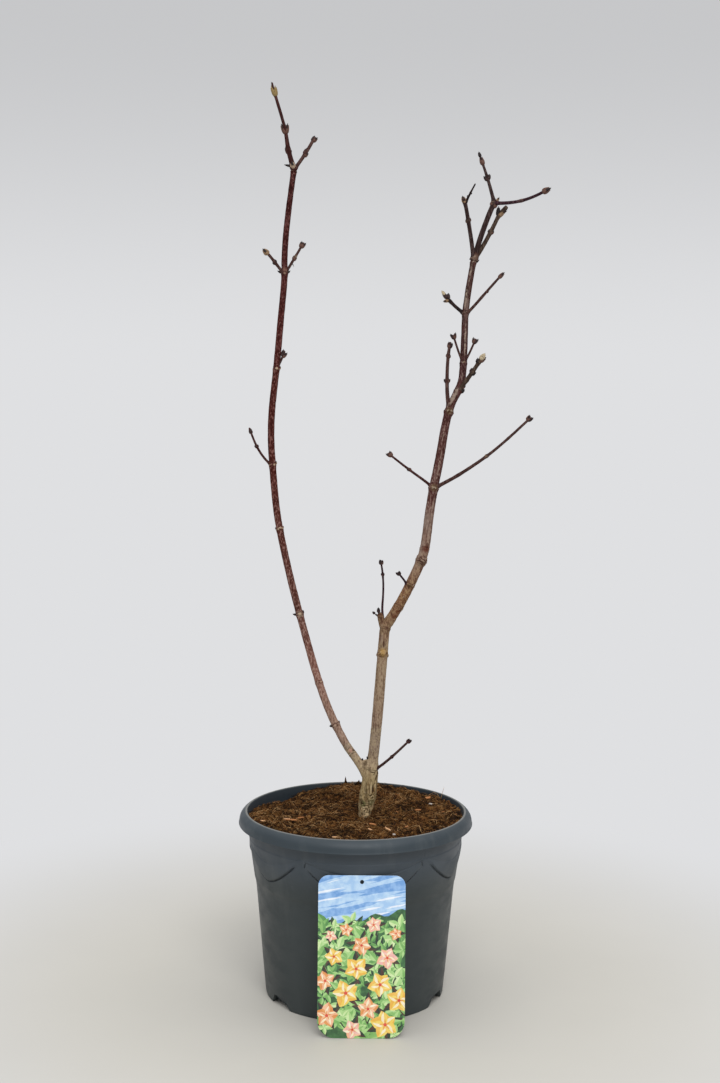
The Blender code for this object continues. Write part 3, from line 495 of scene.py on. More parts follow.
# Tints of the two halves of a leaf: the last pair is only for every third whorl
GREENS = (("leaf_green", "green"), ("light_green", "leaf_green"), ("pale_green", "light_green"))
PETALS = {                      # rings of petals: length, slimness and the tints of the two halves
    "warm": ((1, 0.84, ("peach", "orange")), (0.86, 0.44, ("cream", "peach")),
        (0.48, 0.4, ("orange", "peach"))),
    "gold": ((1, 0.84, ("yellow", "gold")), (0.88, 0.5, ("cream", "yellow")),
        (0.44, 0.34, ("gold", "orange"))),
    "pale": ((1, 0.84, ("pink", "peach")), (0.86, 0.54, ("cream", "pink")),
        (0.44, 0.36, ("peach", "orange"))),
}
BLOSSOMS = (                    # printed flowers: right, up, petal length and kind
    (-0.036, 0.118, 0.0075, "pale"), (-0.018, 0.125, 0.0085, "warm"), (0.014, 0.131, 0.0095, "pale"),
    (0.040, 0.121, 0.0080, "warm"), (0.000, 0.107, 0.0120, "warm"), (-0.032, 0.094, 0.0110, "gold"),
    (0.030, 0.093, 0.0130, "pale"), (-0.006, 0.080, 0.0145, "gold"), (-0.042, 0.066, 0.0130, "warm"),
    (0.022, 0.062, 0.0150, "gold"), (-0.018, 0.052, 0.0165, "gold"), (0.044, 0.044, 0.0150, "gold"),
    (0.008, 0.034, 0.0130, "warm"), (-0.040, 0.026, 0.0150, "warm"), (0.028, 0.016, 0.0165, "gold"),
    (-0.010, 0.010, 0.0120, "pale"))
CARD_TINTS = {                  # two tones that each ink drifts between
    "sky": ((0.15, 0.33, 0.66), (0.3, 0.5, 0.8)), "pale_blue": ((0.36, 0.56, 0.82), (0.52, 0.7, 0.88)),
    "cloud": ((0.74, 0.8, 0.9), (0.86, 0.89, 0.94)), "stalk": ((0.06, 0.028, 0.02), (0.09, 0.045, 0.03)),
    "night": ((0.015, 0.03, 0.022), (0.03, 0.055, 0.03)),
    "deep_green": ((0.03, 0.1, 0.035), (0.06, 0.18, 0.06)),
    "green": ((0.09, 0.26, 0.07), (0.14, 0.34, 0.095)),
    "leaf_green": ((0.18, 0.42, 0.11), (0.26, 0.5, 0.15)),
    "light_green": ((0.34, 0.6, 0.21), (0.44, 0.68, 0.27)),
    "pale_green": ((0.56, 0.74, 0.33), (0.64, 0.8, 0.42)), "cream": ((0.9, 0.78, 0.52), (0.93, 0.85, 0.64)),
    "yellow": ((0.85, 0.6, 0.1), (0.9, 0.7, 0.2)), "gold": ((0.8, 0.44, 0.06), (0.85, 0.52, 0.11)),
    "orange": ((0.7, 0.26, 0.07), (0.78, 0.34, 0.11)), "peach": ((0.85, 0.43, 0.24), (0.9, 0.54, 0.34)),
    "pink": ((0.83, 0.42, 0.37), (0.88, 0.56, 0.48)), "red": ((0.6, 0.05, 0.03), (0.7, 0.09, 0.05)),
    "back": ((0.7, 0.7, 0.68), (0.76, 0.76, 0.74))}


# ---------------------------------------------------------------------------
# Making pieces
# ---------------------------------------------------------------------------
class Soup:
    """Points and faces gathered for one joined piece, with a material number for each face."""

    def __init__(self):
        self.points = []
        self.faces = []
        self.shades = []
        self.tones = []

    def add(self, points, faces, shade=0, tones=None):
        first = len(self.points)
        self.points.extend(points)
        self.faces.extend([tuple(i + first for i in face) for face in faces])
        self.shades.extend([shade] * len(faces))
        self.tones.extend(tones if tones is not None else [0.0] * len(points))

    def mesh(self, name):
        made = bpy.data.meshes.new(name)
        made.from_pydata([tuple(point) for point in self.points], [], self.faces)
        made.polygons.foreach_set("material_index", self.shades)
        return made

    def piece(self, name, materials, replaced=(), sharp=None):
        mesh = self.mesh(name)
        mark_tones(mesh, self.tones)
        for finish in materials:
            mesh.materials.append(finish)
        mesh.shade_smooth()
        if sharp:
            mesh.set_sharp_from_angle(angle=math.radians(sharp))
        mesh.update()
        add_piece(name, mesh, replaced)


def add_object(name, data):
    made = bpy.data.objects.new(name, data)
    bpy.context.scene.collection.objects.link(made)
    return made


def add_piece(name, mesh, replaced=()):
    """A piece on the plant's one body, in place of the named nodes of the CAD."""
    made = add_object(name, mesh)
    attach(made, BODY)
    if replaced:
        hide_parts(*replaced)


def mark_tones(mesh, tones):
    """Keeps how pale (above 0) or dark (below 0) each point is, for its material."""
    mark = mesh.attributes.new("tone", "FLOAT", "POINT")
    mark.data.foreach_set("value", tones)


def ring(centre, across, beside, radius, sides):
    """Points on a circle round a centre, in the plane of two directions."""
    turns = [2 * math.pi * i / sides for i in range(sides)]
    return [centre + (across * math.cos(turn) + beside * math.sin(turn)) * radius for turn in turns]


def ring_faces(rings, sides, closed_ends=True):
    """Faces of a tube whose points are listed ring by ring."""
    faces = []
    for k in range(rings - 1):
        for i in range(sides):
            j = (i + 1) % sides
            faces.append((k * sides + i, k * sides + j, (k + 1) * sides + j, (k + 1) * sides + i))
    if closed_ends:
        faces.append(tuple(reversed(range(sides))))
        faces.append(tuple(range((rings - 1) * sides, rings * sides)))
    return faces


def square_to(direction):
    """Two directions square to the given one and to each other, the first as seen from the front."""
    across = direction.cross(Vector((0.0, 1.0, 0.0))).normalized()
    return across, direction.cross(across)


def smoothstep(low, high, value):
    share = max(0.0, min(1.0, (value - low) / (high - low)))
    return share * share * (3 - 2 * share)


def read_section(section, height):
    """The radius at a height, on a section listed as heights and radii."""
    heights = [row[0] for row in section]
    radii = [row[1] for row in section]
    if heights[0] > heights[-1]:
        heights.reverse()
        radii.reverse()
    return float(np.interp(height, heights, radii))


def wobble(point, scale, seed=0.0):
    """Smooth noise from -1 to 1 with features of about the given size."""
    return noise.noise(Vector(point) / scale + Vector((seed, 2.3 * seed, -1.7 * seed)))


def hump(off, spread):
    """1 in the middle of a rounded rise, falling to nearly 0 at twice its spread."""
    return math.exp(-(off / spread) ** 2)


# ---------------------------------------------------------------------------
# Materials
# ---------------------------------------------------------------------------
class Nodes:
    """Short ways to add nodes to the tree of a material or of the world."""

    def __init__(self, tree):
        self.tree = tree

    def node(self, kind, **settings):
        made = self.tree.nodes.new(kind)
        for key, value in settings.items():
            setattr(made, key, value)
        return made

    def link(self, source, target):
        """Joins an output to an input, or sets the input to a plain value."""
        if hasattr(source, "is_output"):
            self.tree.links.new(source, target)
        elif isinstance(source, tuple) and len(source) == 3:
            target.default_value = (*source, 1.0)
        else:
            target.default_value = source

    def math(self, operation, *sources):
        made = self.node("ShaderNodeMath", operation=operation)
        for k, source in enumerate(sources):
            self.link(source, made.inputs[k])
        return made.outputs["Value"]

    def times(self, source, other):
        return self.math("MULTIPLY", source, other)

    def spread(self, source, low, high, to_low=0.0, to_high=1.0, linear=False):
        kind = "LINEAR" if linear else "SMOOTHSTEP"
        made = self.node("ShaderNodeMapRange", interpolation_type=kind)
        self.link(source, made.inputs["Value"])
        for key, value in (("From Min", low), ("From Max", high), ("To Min", to_low), ("To Max", to_high)):
            made.inputs[key].default_value = value
        return made.outputs["Result"]

    def split(self, vector):
        made = self.node("ShaderNodeSeparateXYZ")
        self.link(vector, made.inputs["Vector"])
        return made.outputs["X"], made.outputs["Y"], made.outputs["Z"]


class Finish(Nodes):
    """A Principled material and short ways to add the nodes that drive it."""

    def __init__(self, name, colour=(0.5, 0.5, 0.5), roughness=0.6, specular=0.5):
        self.material = bpy.data.materials.new(name)
        self.material.use_nodes = True
        super().__init__(self.material.node_tree)
        self.shader = self.tree.nodes["Principled BSDF"]
        self.link(colour, self.shader.inputs["Base Color"])
        self.link(roughness, self.shader.inputs["Roughness"])
        self.link(specular, self.shader.inputs["Specular IOR Level"])
        self.place = self.node("ShaderNodeTexCoord").outputs["Object"]

    def texture(self, kind, stretch, **settings):
        mapping = self.node("ShaderNodeMapping")
        self.link(self.place, mapping.inputs["Vector"])
        mapping.inputs["Scale"].default_value = stretch
        made = self.node(kind)
        self.link(mapping.outputs["Vector"], made.inputs["Vector"])
        for key, value in settings.items():
            made.inputs[key].default_value = value
        return made

    def noise(self, scale, stretch=(1.0, 1.0, 1.0), detail=3.0, roughness=0.55, distortion=0.0):
        made = self.texture("ShaderNodeTexNoise", stretch, Scale=scale, Detail=detail,
                            Roughness=roughness, Distortion=distortion)
        return made.outputs["Fac"]

    def cells(self, scale, stretch):
        return self.texture("ShaderNodeTexVoronoi", stretch, Scale=scale).outputs["Distance"]

    def ramp(self, source, stops):
        made = self.node("ShaderNodeValToRGB")
        self.link(source, made.inputs["Fac"])
        ramp = made.color_ramp
        while len(ramp.elements) < len(stops):
            ramp.elements.new(0.5)
        for element, (place, colour) in zip(ramp.elements, stops):
            element.position = place
            element.color = (*colour, 1.0)
        return made.outputs["Color"]

    def height(self):
        return self.split(self.place)[2]

    def by_height(self, low, high, stops):
        """A colour that changes between two heights."""
        return self.ramp(self.spread(self.height(), low, high, linear=True), stops)

    def mix(self, share, under, over, blend="MIX"):
        made = self.node("ShaderNodeMix", data_type="RGBA", blend_type=blend)
        self.link(share, made.inputs["Factor"])
        self.link(under, made.inputs["A"])
        self.link(over, made.inputs["B"])
        return made.outputs["Result"]

    def over(self, tone, source, low, high, share, colour, blend="MIX"):
        """The tone under a colour that comes in as the source goes from low to high."""
        return self.mix(self.spread(source, low, high, 0.0, share), tone, colour, blend)

    def near(self, centre, reach):
        """1 at a place on the object, falling to 0 at the reach."""
        made = self.node("ShaderNodeVectorMath", operation="DISTANCE")
        self.link(self.place, made.inputs[0])
        made.inputs[1].default_value = centre
        return self.spread(made.outputs["Value"], reach, reach * 0.3)

    def marked(self, tone, pale, dark):
        """Paler and darker colour where the points are marked so."""
        mark = self.node("ShaderNodeAttribute", attribute_name="tone").outputs["Fac"]
        tone = self.mix(self.spread(mark, 0.0, 1.0, linear=True), tone, pale)
        return self.mix(self.spread(mark, 0.0, -1.0, linear=True), tone, dark)

    def colour(self, source):
        self.link(source, self.shader.inputs["Base Color"])

    def roughness(self, source):
        self.link(source, self.shader.inputs["Roughness"])

    def bump(self, source, depth, strength=1.0):
        made = self.node("ShaderNodeBump")
        made.inputs["Strength"].default_value = strength
        made.inputs["Distance"].default_value = depth
        self.link(source, made.inputs["Height"])
        self.link(made.outputs["Normal"], self.shader.inputs["Normal"])


def pot_plastic():
    """Black plastic, scuffed, dusty above and worn at the mouth, with painted sheen, shade and highlight.
    """
    finish = Finish("pot_plastic", (0.04, 0.05, 0.055), 0.5, 0.42)
    height = finish.height()
    cloud = finish.noise(9.0, (1.0, 1.0, 0.6), 4.0)
    # Three tones: the wall's; the band's, lighter and bluer as a painted sheen on the upper wall; and the
    # bluer lip's.
    wall, band_sheen, lip = (finish.ramp(cloud, ((0.3, darker), (0.7, lighter))) for darker, lighter in (
        ((0.024, 0.032, 0.034), (0.034, 0.043, 0.045)),
        ((0.036, 0.048, 0.060), (0.048, 0.061, 0.074)),
        ((0.023, 0.034, 0.042), (0.033, 0.046, 0.056))))
    # The painted sheen comes in from low on the band up to the swags' top.
    tone = finish.over(wall, height, BAND_FOOT + 0.015, SWAG_TOP - 0.0045, 1.0, band_sheen)
    tone = finish.over(tone, height, WALL_TOP - 0.0005, WALL_TOP + 0.0002, 1.0, lip)
    scuffs = finish.noise(55.0, (1.0, 1.0, 7.0), 5.0, 0.7)
    tone = finish.over(tone, scuffs, 0.60, 0.78, 0.22, (0.10, 0.115, 0.12))
    dust = finish.times(finish.spread(finish.noise(38.0, (1.0, 1.0, 0.25), 5.0, 0.65), 0.50, 0.75),
                        finish.spread(height, 0.05, 0.24, 0.05, 0.20))
    tone = finish.mix(dust, tone, (0.13, 0.14, 0.135))
    # Pale at the mouth: wear, and a painted highlight along the rim's top edge.
    tone = finish.over(tone, height, MOUTH - 0.0008, MOUTH, 0.55, (0.26, 0.25, 0.22))
    # Painted shade: the inside of the pot, marked 1, takes a darker colour than the wall, and the creases,
    # marked below 0, a darker one still.
    finish.colour(finish.marked(tone, (0.015, 0.023, 0.030), (0.008, 0.010, 0.011)))
    finish.roughness(finish.spread(finish.noise(30.0, (1.0, 1.0, 2.0), 4.0), 0.3, 0.75, 0.40, 0.60))
    finish.bump(finish.noise(1500.0, detail=2.0), 0.00006, 0.5)
    return finish.material


def peat():
    finish = Finish("peat", (0.1, 0.05, 0.02), 0.95, 0.15)
    fine = finish.noise(560.0, (1.0, 1.0, 1.0), 5.0, 0.7, 0.6)
    tone = finish.ramp(fine, ((0.30, (0.010, 0.004, 0.002)), (0.44, (0.042, 0.016, 0.004)),
                              (0.56, (0.110, 0.046, 0.011)), (0.70, (0.260, 0.125, 0.034))))
    tone = finish.over(tone, finish.noise(48.0, detail=4.0), 0.56, 0.42, 0.75, (0.014, 0.006, 0.003))
    tone = finish.over(tone, finish.noise(30.0, detail=2.0), 0.50, 0.60, 0.45, (0.17, 0.058, 0.012))
    # Painted light on the peat's lumps and painted shade in its hollows, from the tones marked on the bed.
    finish.colour(finish.marked(tone, (0.26, 0.140, 0.045), (0.010, 0.005, 0.003)))
    finish.bump(fine, 0.0010, 0.9)
    return finish.material


def plain(name, colour, roughness=0.8, grain=600.0, change=0.35, depth=0.0002, specular=0.08):
    """A material of one colour, a little lighter and darker in its grain."""
    finish = Finish(name, colour, roughness, specular)
    grain_noise = finish.noise(grain, detail=3.0)
    darker = tuple(value * (1 - change) for value in colour)
    lighter = tuple(min(1.0, value * (1 + change)) for value in colour)
    finish.colour(finish.ramp(grain_noise, ((0.3, darker), (0.7, lighter))))
    finish.bump(grain_noise, depth, 0.6)
    return finish.material


def card_tint(name, colour, other):
    """Glossy print in one colour that drifts towards another."""
    finish = Finish("card_" + name, colour, 0.22, 0.5)
    finish.shader.inputs["Coat Weight"].default_value = 0.35
    finish.shader.inputs["Coat Roughness"].default_value = 0.12
    finish.colour(finish.over(colour, finish.noise(120.0, detail=3.0), 0.35, 0.65, 1.0, other))
    return finish.material


# ---------------------------------------------------------------------------
# Limb lines, as in the CAD
# ---------------------------------------------------------------------------
def growth(internode):
    """The step that an internode takes."""
    length, right, back = internode
    right = math.radians(right)
    back = math.radians(back)
    direction = Vector((math.sin(right) * math.cos(back), math.sin(back),
                        math.cos(right) * math.cos(back)))
    return direction * (length * MM)


def round_corners(points):
    for _ in range(2):
        cut_points = [points[0]]
        for start, end in zip(points, points[1:]):
            cut_points.append(start.lerp(end, 0.25))
            cut_points.append(start.lerp(end, 0.75))
        cut_points.append(points[-1])
        points = cut_points
    return points


def line_length(line):
    return sum((end - start).length for start, end in zip(line, line[1:]))


def point_along(line, distance):
    """The point at a distance along a line, and the line's direction there."""
    for start, end in zip(line, line[1:]):
        span = (end - start).length
        if distance <= span:
            break
        distance -= span
    direction = (end - start).normalized()
    return start + direction * distance, direction


def centre_line(name):
    parent, at, _, internodes = LIMBS[name]
    points = [point_along(centre_line(parent), at * MM)[0] if parent else Vector(TRUNK_FOOT)]
    for internode in internodes:
        points.append(points[-1] + growth(internode))
    return round_corners(points)


def width_at(widths, share):
    """A value at a share of the way along a limb, read between its even spaced widths."""
    place = share * (len(widths) - 1)
    k = min(int(place), len(widths) - 2)
    return widths[k] + (widths[k + 1] - widths[k]) * (place - k)


class Limb:
    """A limb's smooth centre line, with a turning frame at each of its stations."""

    def __init__(self, name, spacing):
        self.name = name
        self.parent, self.at, self.widths, _ = LIMBS[name]
        line = centre_line(name)
        self.length = line_length(line)
        count = max(4, round(self.length / spacing))
        self.stations = [self.length * k / count for k in range(count + 1)]
        points = [point_along(line, station)[0] for station in self.stations]
        for _ in range(8):
            inner = [(a + b * 2 + c) / 4 for a, b, c in zip(points, points[1:], points[2:])]
            points = [points[0]] + inner + [points[-1]]
        self.points = points
        self.frames = []
        across = Vector((1.0, 0.0, 0.0))
        for k in range(count + 1):
            direction = (points[min(k + 1, count)] - points[max(k - 1, 0)]).normalized()
            across = (across - direction * across.dot(direction)).normalized()
            self.frames.append((direction, across, direction.cross(across)))

    def station_index(self, distance):
        last = len(self.stations) - 1
        return max(0, min(last, round(distance / self.length * last)))

    def width(self, distance):
        return width_at(self.widths, min(1.0, distance / self.length)) * MM

    def place(self, at, turn, out=0.0):
        """A point on the bark or out from it, the limb's direction there and the way outwards.

        The distance along the limb and the distance out are in mm. A turn of 0 is the right, 90 the back,
        180 the left and 270 the front.
        """
        k = self.station_index(at * MM)
        direction, across, beside = self.frames[k]
        angle = math.radians(turn)
        outward = across * math.cos(angle) + beside * math.sin(angle)
        return self.points[k] + outward * (self.width(at * MM) / 2 + out * MM), direction, outward

    def aim(self, at, turn, lean, out=0.0):
        """The same point, and the direction that leans outwards from the limb's line by an angle."""
        base, direction, outward = self.place(at, turn, out)
        lean = math.radians(lean)
        return base, direction * math.cos(lean) + outward * math.sin(lean)


# ---------------------------------------------------------------------------
# Camera, floor and light
# ---------------------------------------------------------------------------
def make_camera():
    data = bpy.data.cameras.new("camera")
    data.lens = CAMERA_LENS
    data.sensor_width = 36.0
    camera = add_object("camera", data)
    camera.matrix_world = (Matrix.Translation(CAMERA_PLACE)
                           @ Matrix.Rotation(math.radians(90 - CAMERA_PITCH), 4, "X")
                           @ Matrix.Rotation(math.radians(CAMERA_ROLL), 4, "Z"))
    bpy.context.scene.camera = camera


def make_floor():
    """A round pale floor that fades into the backdrop."""
    finish = Finish("floor", FLOOR_COLOUR, 0.65, 0.3)
    lighter = tuple(value * 1.04 for value in FLOOR_COLOUR)
    finish.colour(finish.ramp(finish.noise(3.0, detail=4.0), ((0.35, FLOOR_COLOUR), (0.7, lighter))))
    away = finish.node("ShaderNodeVectorMath", operation="LENGTH")
    finish.link(finish.place, away.inputs[0])
    glow = finish.node("ShaderNodeEmission")
    finish.link(BACKDROP, glow.inputs["Color"])
    blend = finish.node("ShaderNodeMixShader")
    finish.link(finish.spread(away.outputs["Value"], FLOOR_NEAR, FLOOR_FAR), blend.inputs["Fac"])
    finish.link(finish.shader.outputs["BSDF"], blend.inputs[1])
    finish.link(glow.outputs["Emission"], blend.inputs[2])
    finish.link(blend.outputs["Shader"], finish.tree.nodes["Material Output"].inputs["Surface"])
    soup = Soup()
    outline = ring(Vector(), Vector((1.0, 0.0, 0.0)), Vector((0.0, 1.0, 0.0)), FLOOR_RADIUS, FLOOR_SIDES)
    soup.add(outline, [tuple(range(FLOOR_SIDES))])
    mesh = soup.mesh("floor")
    mesh.materials.append(finish.material)
    floor = add_object("floor", mesh)
    floor.location = (0.0, 0.0, -FLOOR_GAP)


def make_lamp():
    data = bpy.data.lights.new("key", "AREA")
    data.shape = "DISK"
    data.size = KEY_SIZE
    data.energy = KEY_POWER
    lamp = add_object("key", data)
    lamp.location = KEY_PLACE
    lamp.rotation_mode = "QUATERNION"
    lamp.rotation_quaternion = (Vector(KEY_AIM) - Vector(KEY_PLACE)).to_track_quat("-Z", "Y")


def make_light():
    """A pale room, dimmer at the sides and towards the top of the backdrop, and a soft lamp in front."""
    scene = bpy.context.scene
    scene.view_settings.view_transform = "Standard"
    scene.world = bpy.data.worlds.new("studio")
    scene.world.use_nodes = True
    world = Nodes(scene.world.node_tree)
    sideways, _, upwards = world.split(world.node("ShaderNodeTexCoord").outputs["Generated"])
    ceiling = world.spread(upwards, 0.25, 0.95, 1.0, CEILING / BACKDROP_DIM)
    wall = world.spread(upwards, 0.0, 0.21, 1.0, BACKDROP_DIM)
    sides = world.spread(world.math("ABSOLUTE", sideways), 0.25, 0.90, 1.0, SIDE_DIM)
    backdrop = world.tree.nodes["Background"]
    world.link(world.times(world.times(ceiling, wall), sides), backdrop.inputs["Strength"])
    world.link(BACKDROP, backdrop.inputs["Color"])
    make_lamp()


# ---------------------------------------------------------------------------
# Pot
# ---------------------------------------------------------------------------
def notch_rise(turn):
    """How high the foot is cut away at an angle from the front, in degrees."""
    step = 360 / NOTCH_COUNT
    off = (turn - NOTCH_TURN + step / 2) % step - step / 2
    across = abs(math.radians(off)) * WALL_SECTION[0][1]
    return NOTCH_HEIGHT * max(0.0, min(1.0, (NOTCH_HALF_WIDTH - across) / NOTCH_SLANT))


def swag_place(turn):
    """Which of the two swags is at an angle from the front, the share of half its span, and the join."""
    pair = sum(SWAG_SPAN)
    off = (turn - NOTCH_TURN + SWAG_SPAN[0] / 2) % pair
    kind = 0 if off < SWAG_SPAN[0] else 1
    half = SWAG_SPAN[kind] / 2
    middle = half if kind == 0 else SWAG_SPAN[0] + half
    joins = (off, off - SWAG_SPAN[0], off - pair)
    return kind, abs(off - middle) / half, min(joins, key=abs)


def curve_at(curve, share):
    lowest, rise, power = curve
    return lowest + rise * share ** power


def swag_relief(turn, height):
    """How far the swags stand out at an angle from the front and a height, and how deep the crease is."""
    kind, share, join = swag_place(turn)
    lower = curve_at(SWAG_LOW[kind], share)
    upper = curve_at(SWAG_HIGH[kind], share)
    ends = 1.0 - smoothstep(SWAG_END[kind] - 0.10, SWAG_END[kind] + 0.02, share)
    lift = 0.0
    if lower < upper + SWAG_OVERLAP:
        full = 0.30 + 0.70 * (1 - smoothstep(lower + 0.0020, upper, height))
        edge = smoothstep(lower - 0.0003, lower + 0.0008, height)
        lift = SWAG_LIFT * full * edge * (1 - smoothstep(upper - 0.0006, upper + 0.0016, height))
    crease = CREASE_DEPTH * hump(height - lower + CREASE_WIDTH / 2, CREASE_WIDTH) * ends
    over = CREASE_DEPTH * hump(height - upper - 1.5 * CREASE_WIDTH, CREASE_WIDTH)
    crease += UPPER_CREASE[kind] * over * (1 - 0.5 * ends)
    along = math.radians(abs(join)) * BAND_RADIUS
    if along < TICK_REACH:
        low, high = TICK_HEIGHTS
        between = smoothstep(low, low + 0.0012, height) * (1.0 - smoothstep(high - 0.0012, high, height))
        slant = TICK_SLANT * (height - (low + high) / 2)
        crease += TICK_DEPTH * between * hump((along if kind else -along) + slant, TICK_WIDTH)
    return lift * (0.15 + 0.85 * ends) - crease, min(1.0, crease / CREASE_DEPTH)


def pot_turns():
    """Angles of the pot's columns from the front, close together where two swags meet."""
    pair = sum(SWAG_SPAN)
    first = NOTCH_TURN - SWAG_SPAN[0] / 2
    joins = [first + pair * k + more for k in range(3) for more in (0.0, SWAG_SPAN[0])]
    reach = (JOIN_COLUMNS + 1) * JOIN_STEP
    turns = [join + JOIN_STEP * i for join in joins for i in range(-JOIN_COLUMNS, JOIN_COLUMNS + 1)]
    for i in range(POT_COLUMNS):
        turn = 360 * i / POT_COLUMNS
        if all(abs((turn - join + 180) % 360 - 180) > reach for join in joins):
            turns.append(turn)
    return sorted(turn % 360 for turn in turns)


def wall_radius(turn, height):
    angle = math.radians(turn)
    around = (math.cos(angle), math.sin(angle), height * 4)
    return read_section(WALL_SECTION, height) + WARP * wobble(around, WARP_SIZE, 4.0)


def pot_rows():
    """Each row of the pot, as a function of the angle that gives its radius, height and any crease."""
    foot_radius = WALL_SECTION[0][1]
    inner_edge = foot_radius - NOTCH_DEPTH
    skin = foot_radius - WALL
    rows = [lambda turn: (inner_edge * 0.5, 0.0), lambda turn: (inner_edge, 0.0),
            lambda turn: (inner_edge, notch_rise(turn) + GROOVE),
            lambda turn: (skin, notch_rise(turn) + GROOVE), lambda turn: (skin, notch_rise(turn))]
    for k in range(FOOT_ROWS + 1):
        def foot_row(turn, share=k / FOOT_ROWS):
            foot = notch_rise(turn)
            height = foot + (FOOT_TOP - foot) * share
            return read_section(WALL_SECTION, height), height
        rows.append(foot_row)
    levels = (FOOT_TOP + ROW_STEPS[0], BAND_FOOT, SWAG_FOOT, SWAG_TOP, WALL_TOP)
    for low, high, step in zip(levels, levels[1:], ROW_STEPS):
        for level in np.arange(low, high, step):
            def wall_row(turn, height=float(level)):
                out, *crease = swag_relief(turn, height) if height > SWAG_FOOT - 0.004 else (0.0,)
                return wall_radius(turn, height) + out, height, *crease
            rows.append(wall_row)
    for height, radius in LIP_SECTION + INNER_SECTION[1:]:
        rows.append(lambda turn, height=height, radius=radius: (radius, height))
    rows.append(lambda turn: (INNER_SECTION[-1][1] - 0.001, FLOOR_TOP))
    return rows


def make_pot():
    soup = Soup()
    rows = pot_rows()
    turns = pot_turns()
    points = []
    tones = []
    mouth = len(rows) - len(INNER_SECTION) - 1
    for k, row in enumerate(rows):
        for turn in turns:
            radius, height, *crease = row(turn)
            angle = math.radians(turn)
            points.append((radius * math.sin(angle), -radius * math.cos(angle), height))
            # Rows from the mouth down the inside are marked 1 and creases below 0, for the painted shade
            # that pot_plastic lays on them.
            tones.append(1.0 if k >= mouth else -CREASE_PAINTED_SHADE * sum(crease))
    soup.add(points, ring_faces(len(rows), len(turns)), tones=tones)
    soup.piece("pot_moulding", [pot_plastic()], ("pot",), sharp=38)


# ---------------------------------------------------------------------------
# Peat
# ---------------------------------------------------------------------------
def soil_rim_height(turn):
    """Height of the peat at the pot's wall, at an angle in radians anticlockwise from the right."""
    dip = math.exp(-((math.degrees(turn) % 360 - SOIL_DIP_ANGLE) / SOIL_DIP_SPREAD) ** 2)
    return SOIL_RIM_LEVEL + SOIL_BACK_RISE * math.sin(turn) - SOIL_DIP * dip


def soil_edge(turn):
    return read_section(INNER_SECTION, soil_rim_height(turn))


def soil_height(x, y):
    """Height of the peat's surface, with its heaps, lumps and hollows."""
    turn = math.atan2(y, x)
    radius = math.hypot(x, y)
    edge = soil_edge(turn)
    share = max(0.0, min(1.0, (radius - SOIL_FLAT_RADIUS) / (edge - SOIL_FLAT_RADIUS)))
    fall = smoothstep(0.0, 1.0, share)
    height = SOIL_LEVEL + (soil_rim_height(turn) - SOIL_LEVEL) * fall
    calm = smoothstep(0.004, 0.016, math.hypot(x - TRUNK_FOOT[0], y))
    for lift, size in SOIL_LUMPS:
        height += lift * (0.3 + 0.7 * calm) * wobble((x, y, 0.0), size, 1.0 + size)
    for right, back, lift, reach in HEAPS:
        height += lift * math.exp(-((x - right) ** 2 + (y - back) ** 2) / reach ** 2)
    return height


def make_soil_bed():
    turns = [2 * math.pi * i / SOIL_COLUMNS for i in range(SOIL_COLUMNS)]
    points = [(radius * math.cos(turn), radius * math.sin(turn), height)
              for height, radius in SOIL_UNDER for turn in turns]
    for k in range(SOIL_RINGS):
        share = 1.0 - k / (SOIL_RINGS - 1) * (1 - SOIL_EYE)
        for turn in turns:
            radius = (soil_edge(turn) + SOIL_PRESS) * share
            x = radius * math.cos(turn)
            y = radius * math.sin(turn)
            points.append((x, y, soil_height(x, y)))
    # Tones from the same noise as the smaller lumps: paler on them as painted light, darker in the hollows
    # as painted shade.
    tones = []
    for x, y, _ in points:
        painted_relief_shading = wobble((x, y, 0.0), 0.0055, 1.0055) + 0.8 * wobble((x, y, 0.0), 0.0028, 1.0028)
        tones.append(max(-0.9, min(0.5, 1.5 * painted_relief_shading - 0.15)))
    soup = Soup()
    soup.add(points, ring_faces(SOIL_RINGS + len(SOIL_UNDER), SOIL_COLUMNS), tones=tones)
    soup.piece("peat_bed", [peat()], ("soil",))


def soil_spot(draw, margin=0.003):
    """A random place on the peat."""
    while True:
        radius = 0.131 * math.sqrt(draw.random())
        turn = draw.uniform(-math.pi, math.pi)
        if radius < soil_edge(turn) - margin:
            x = radius * math.cos(turn)
            y = radius * math.sin(turn)
            return x, y, soil_height(x, y)


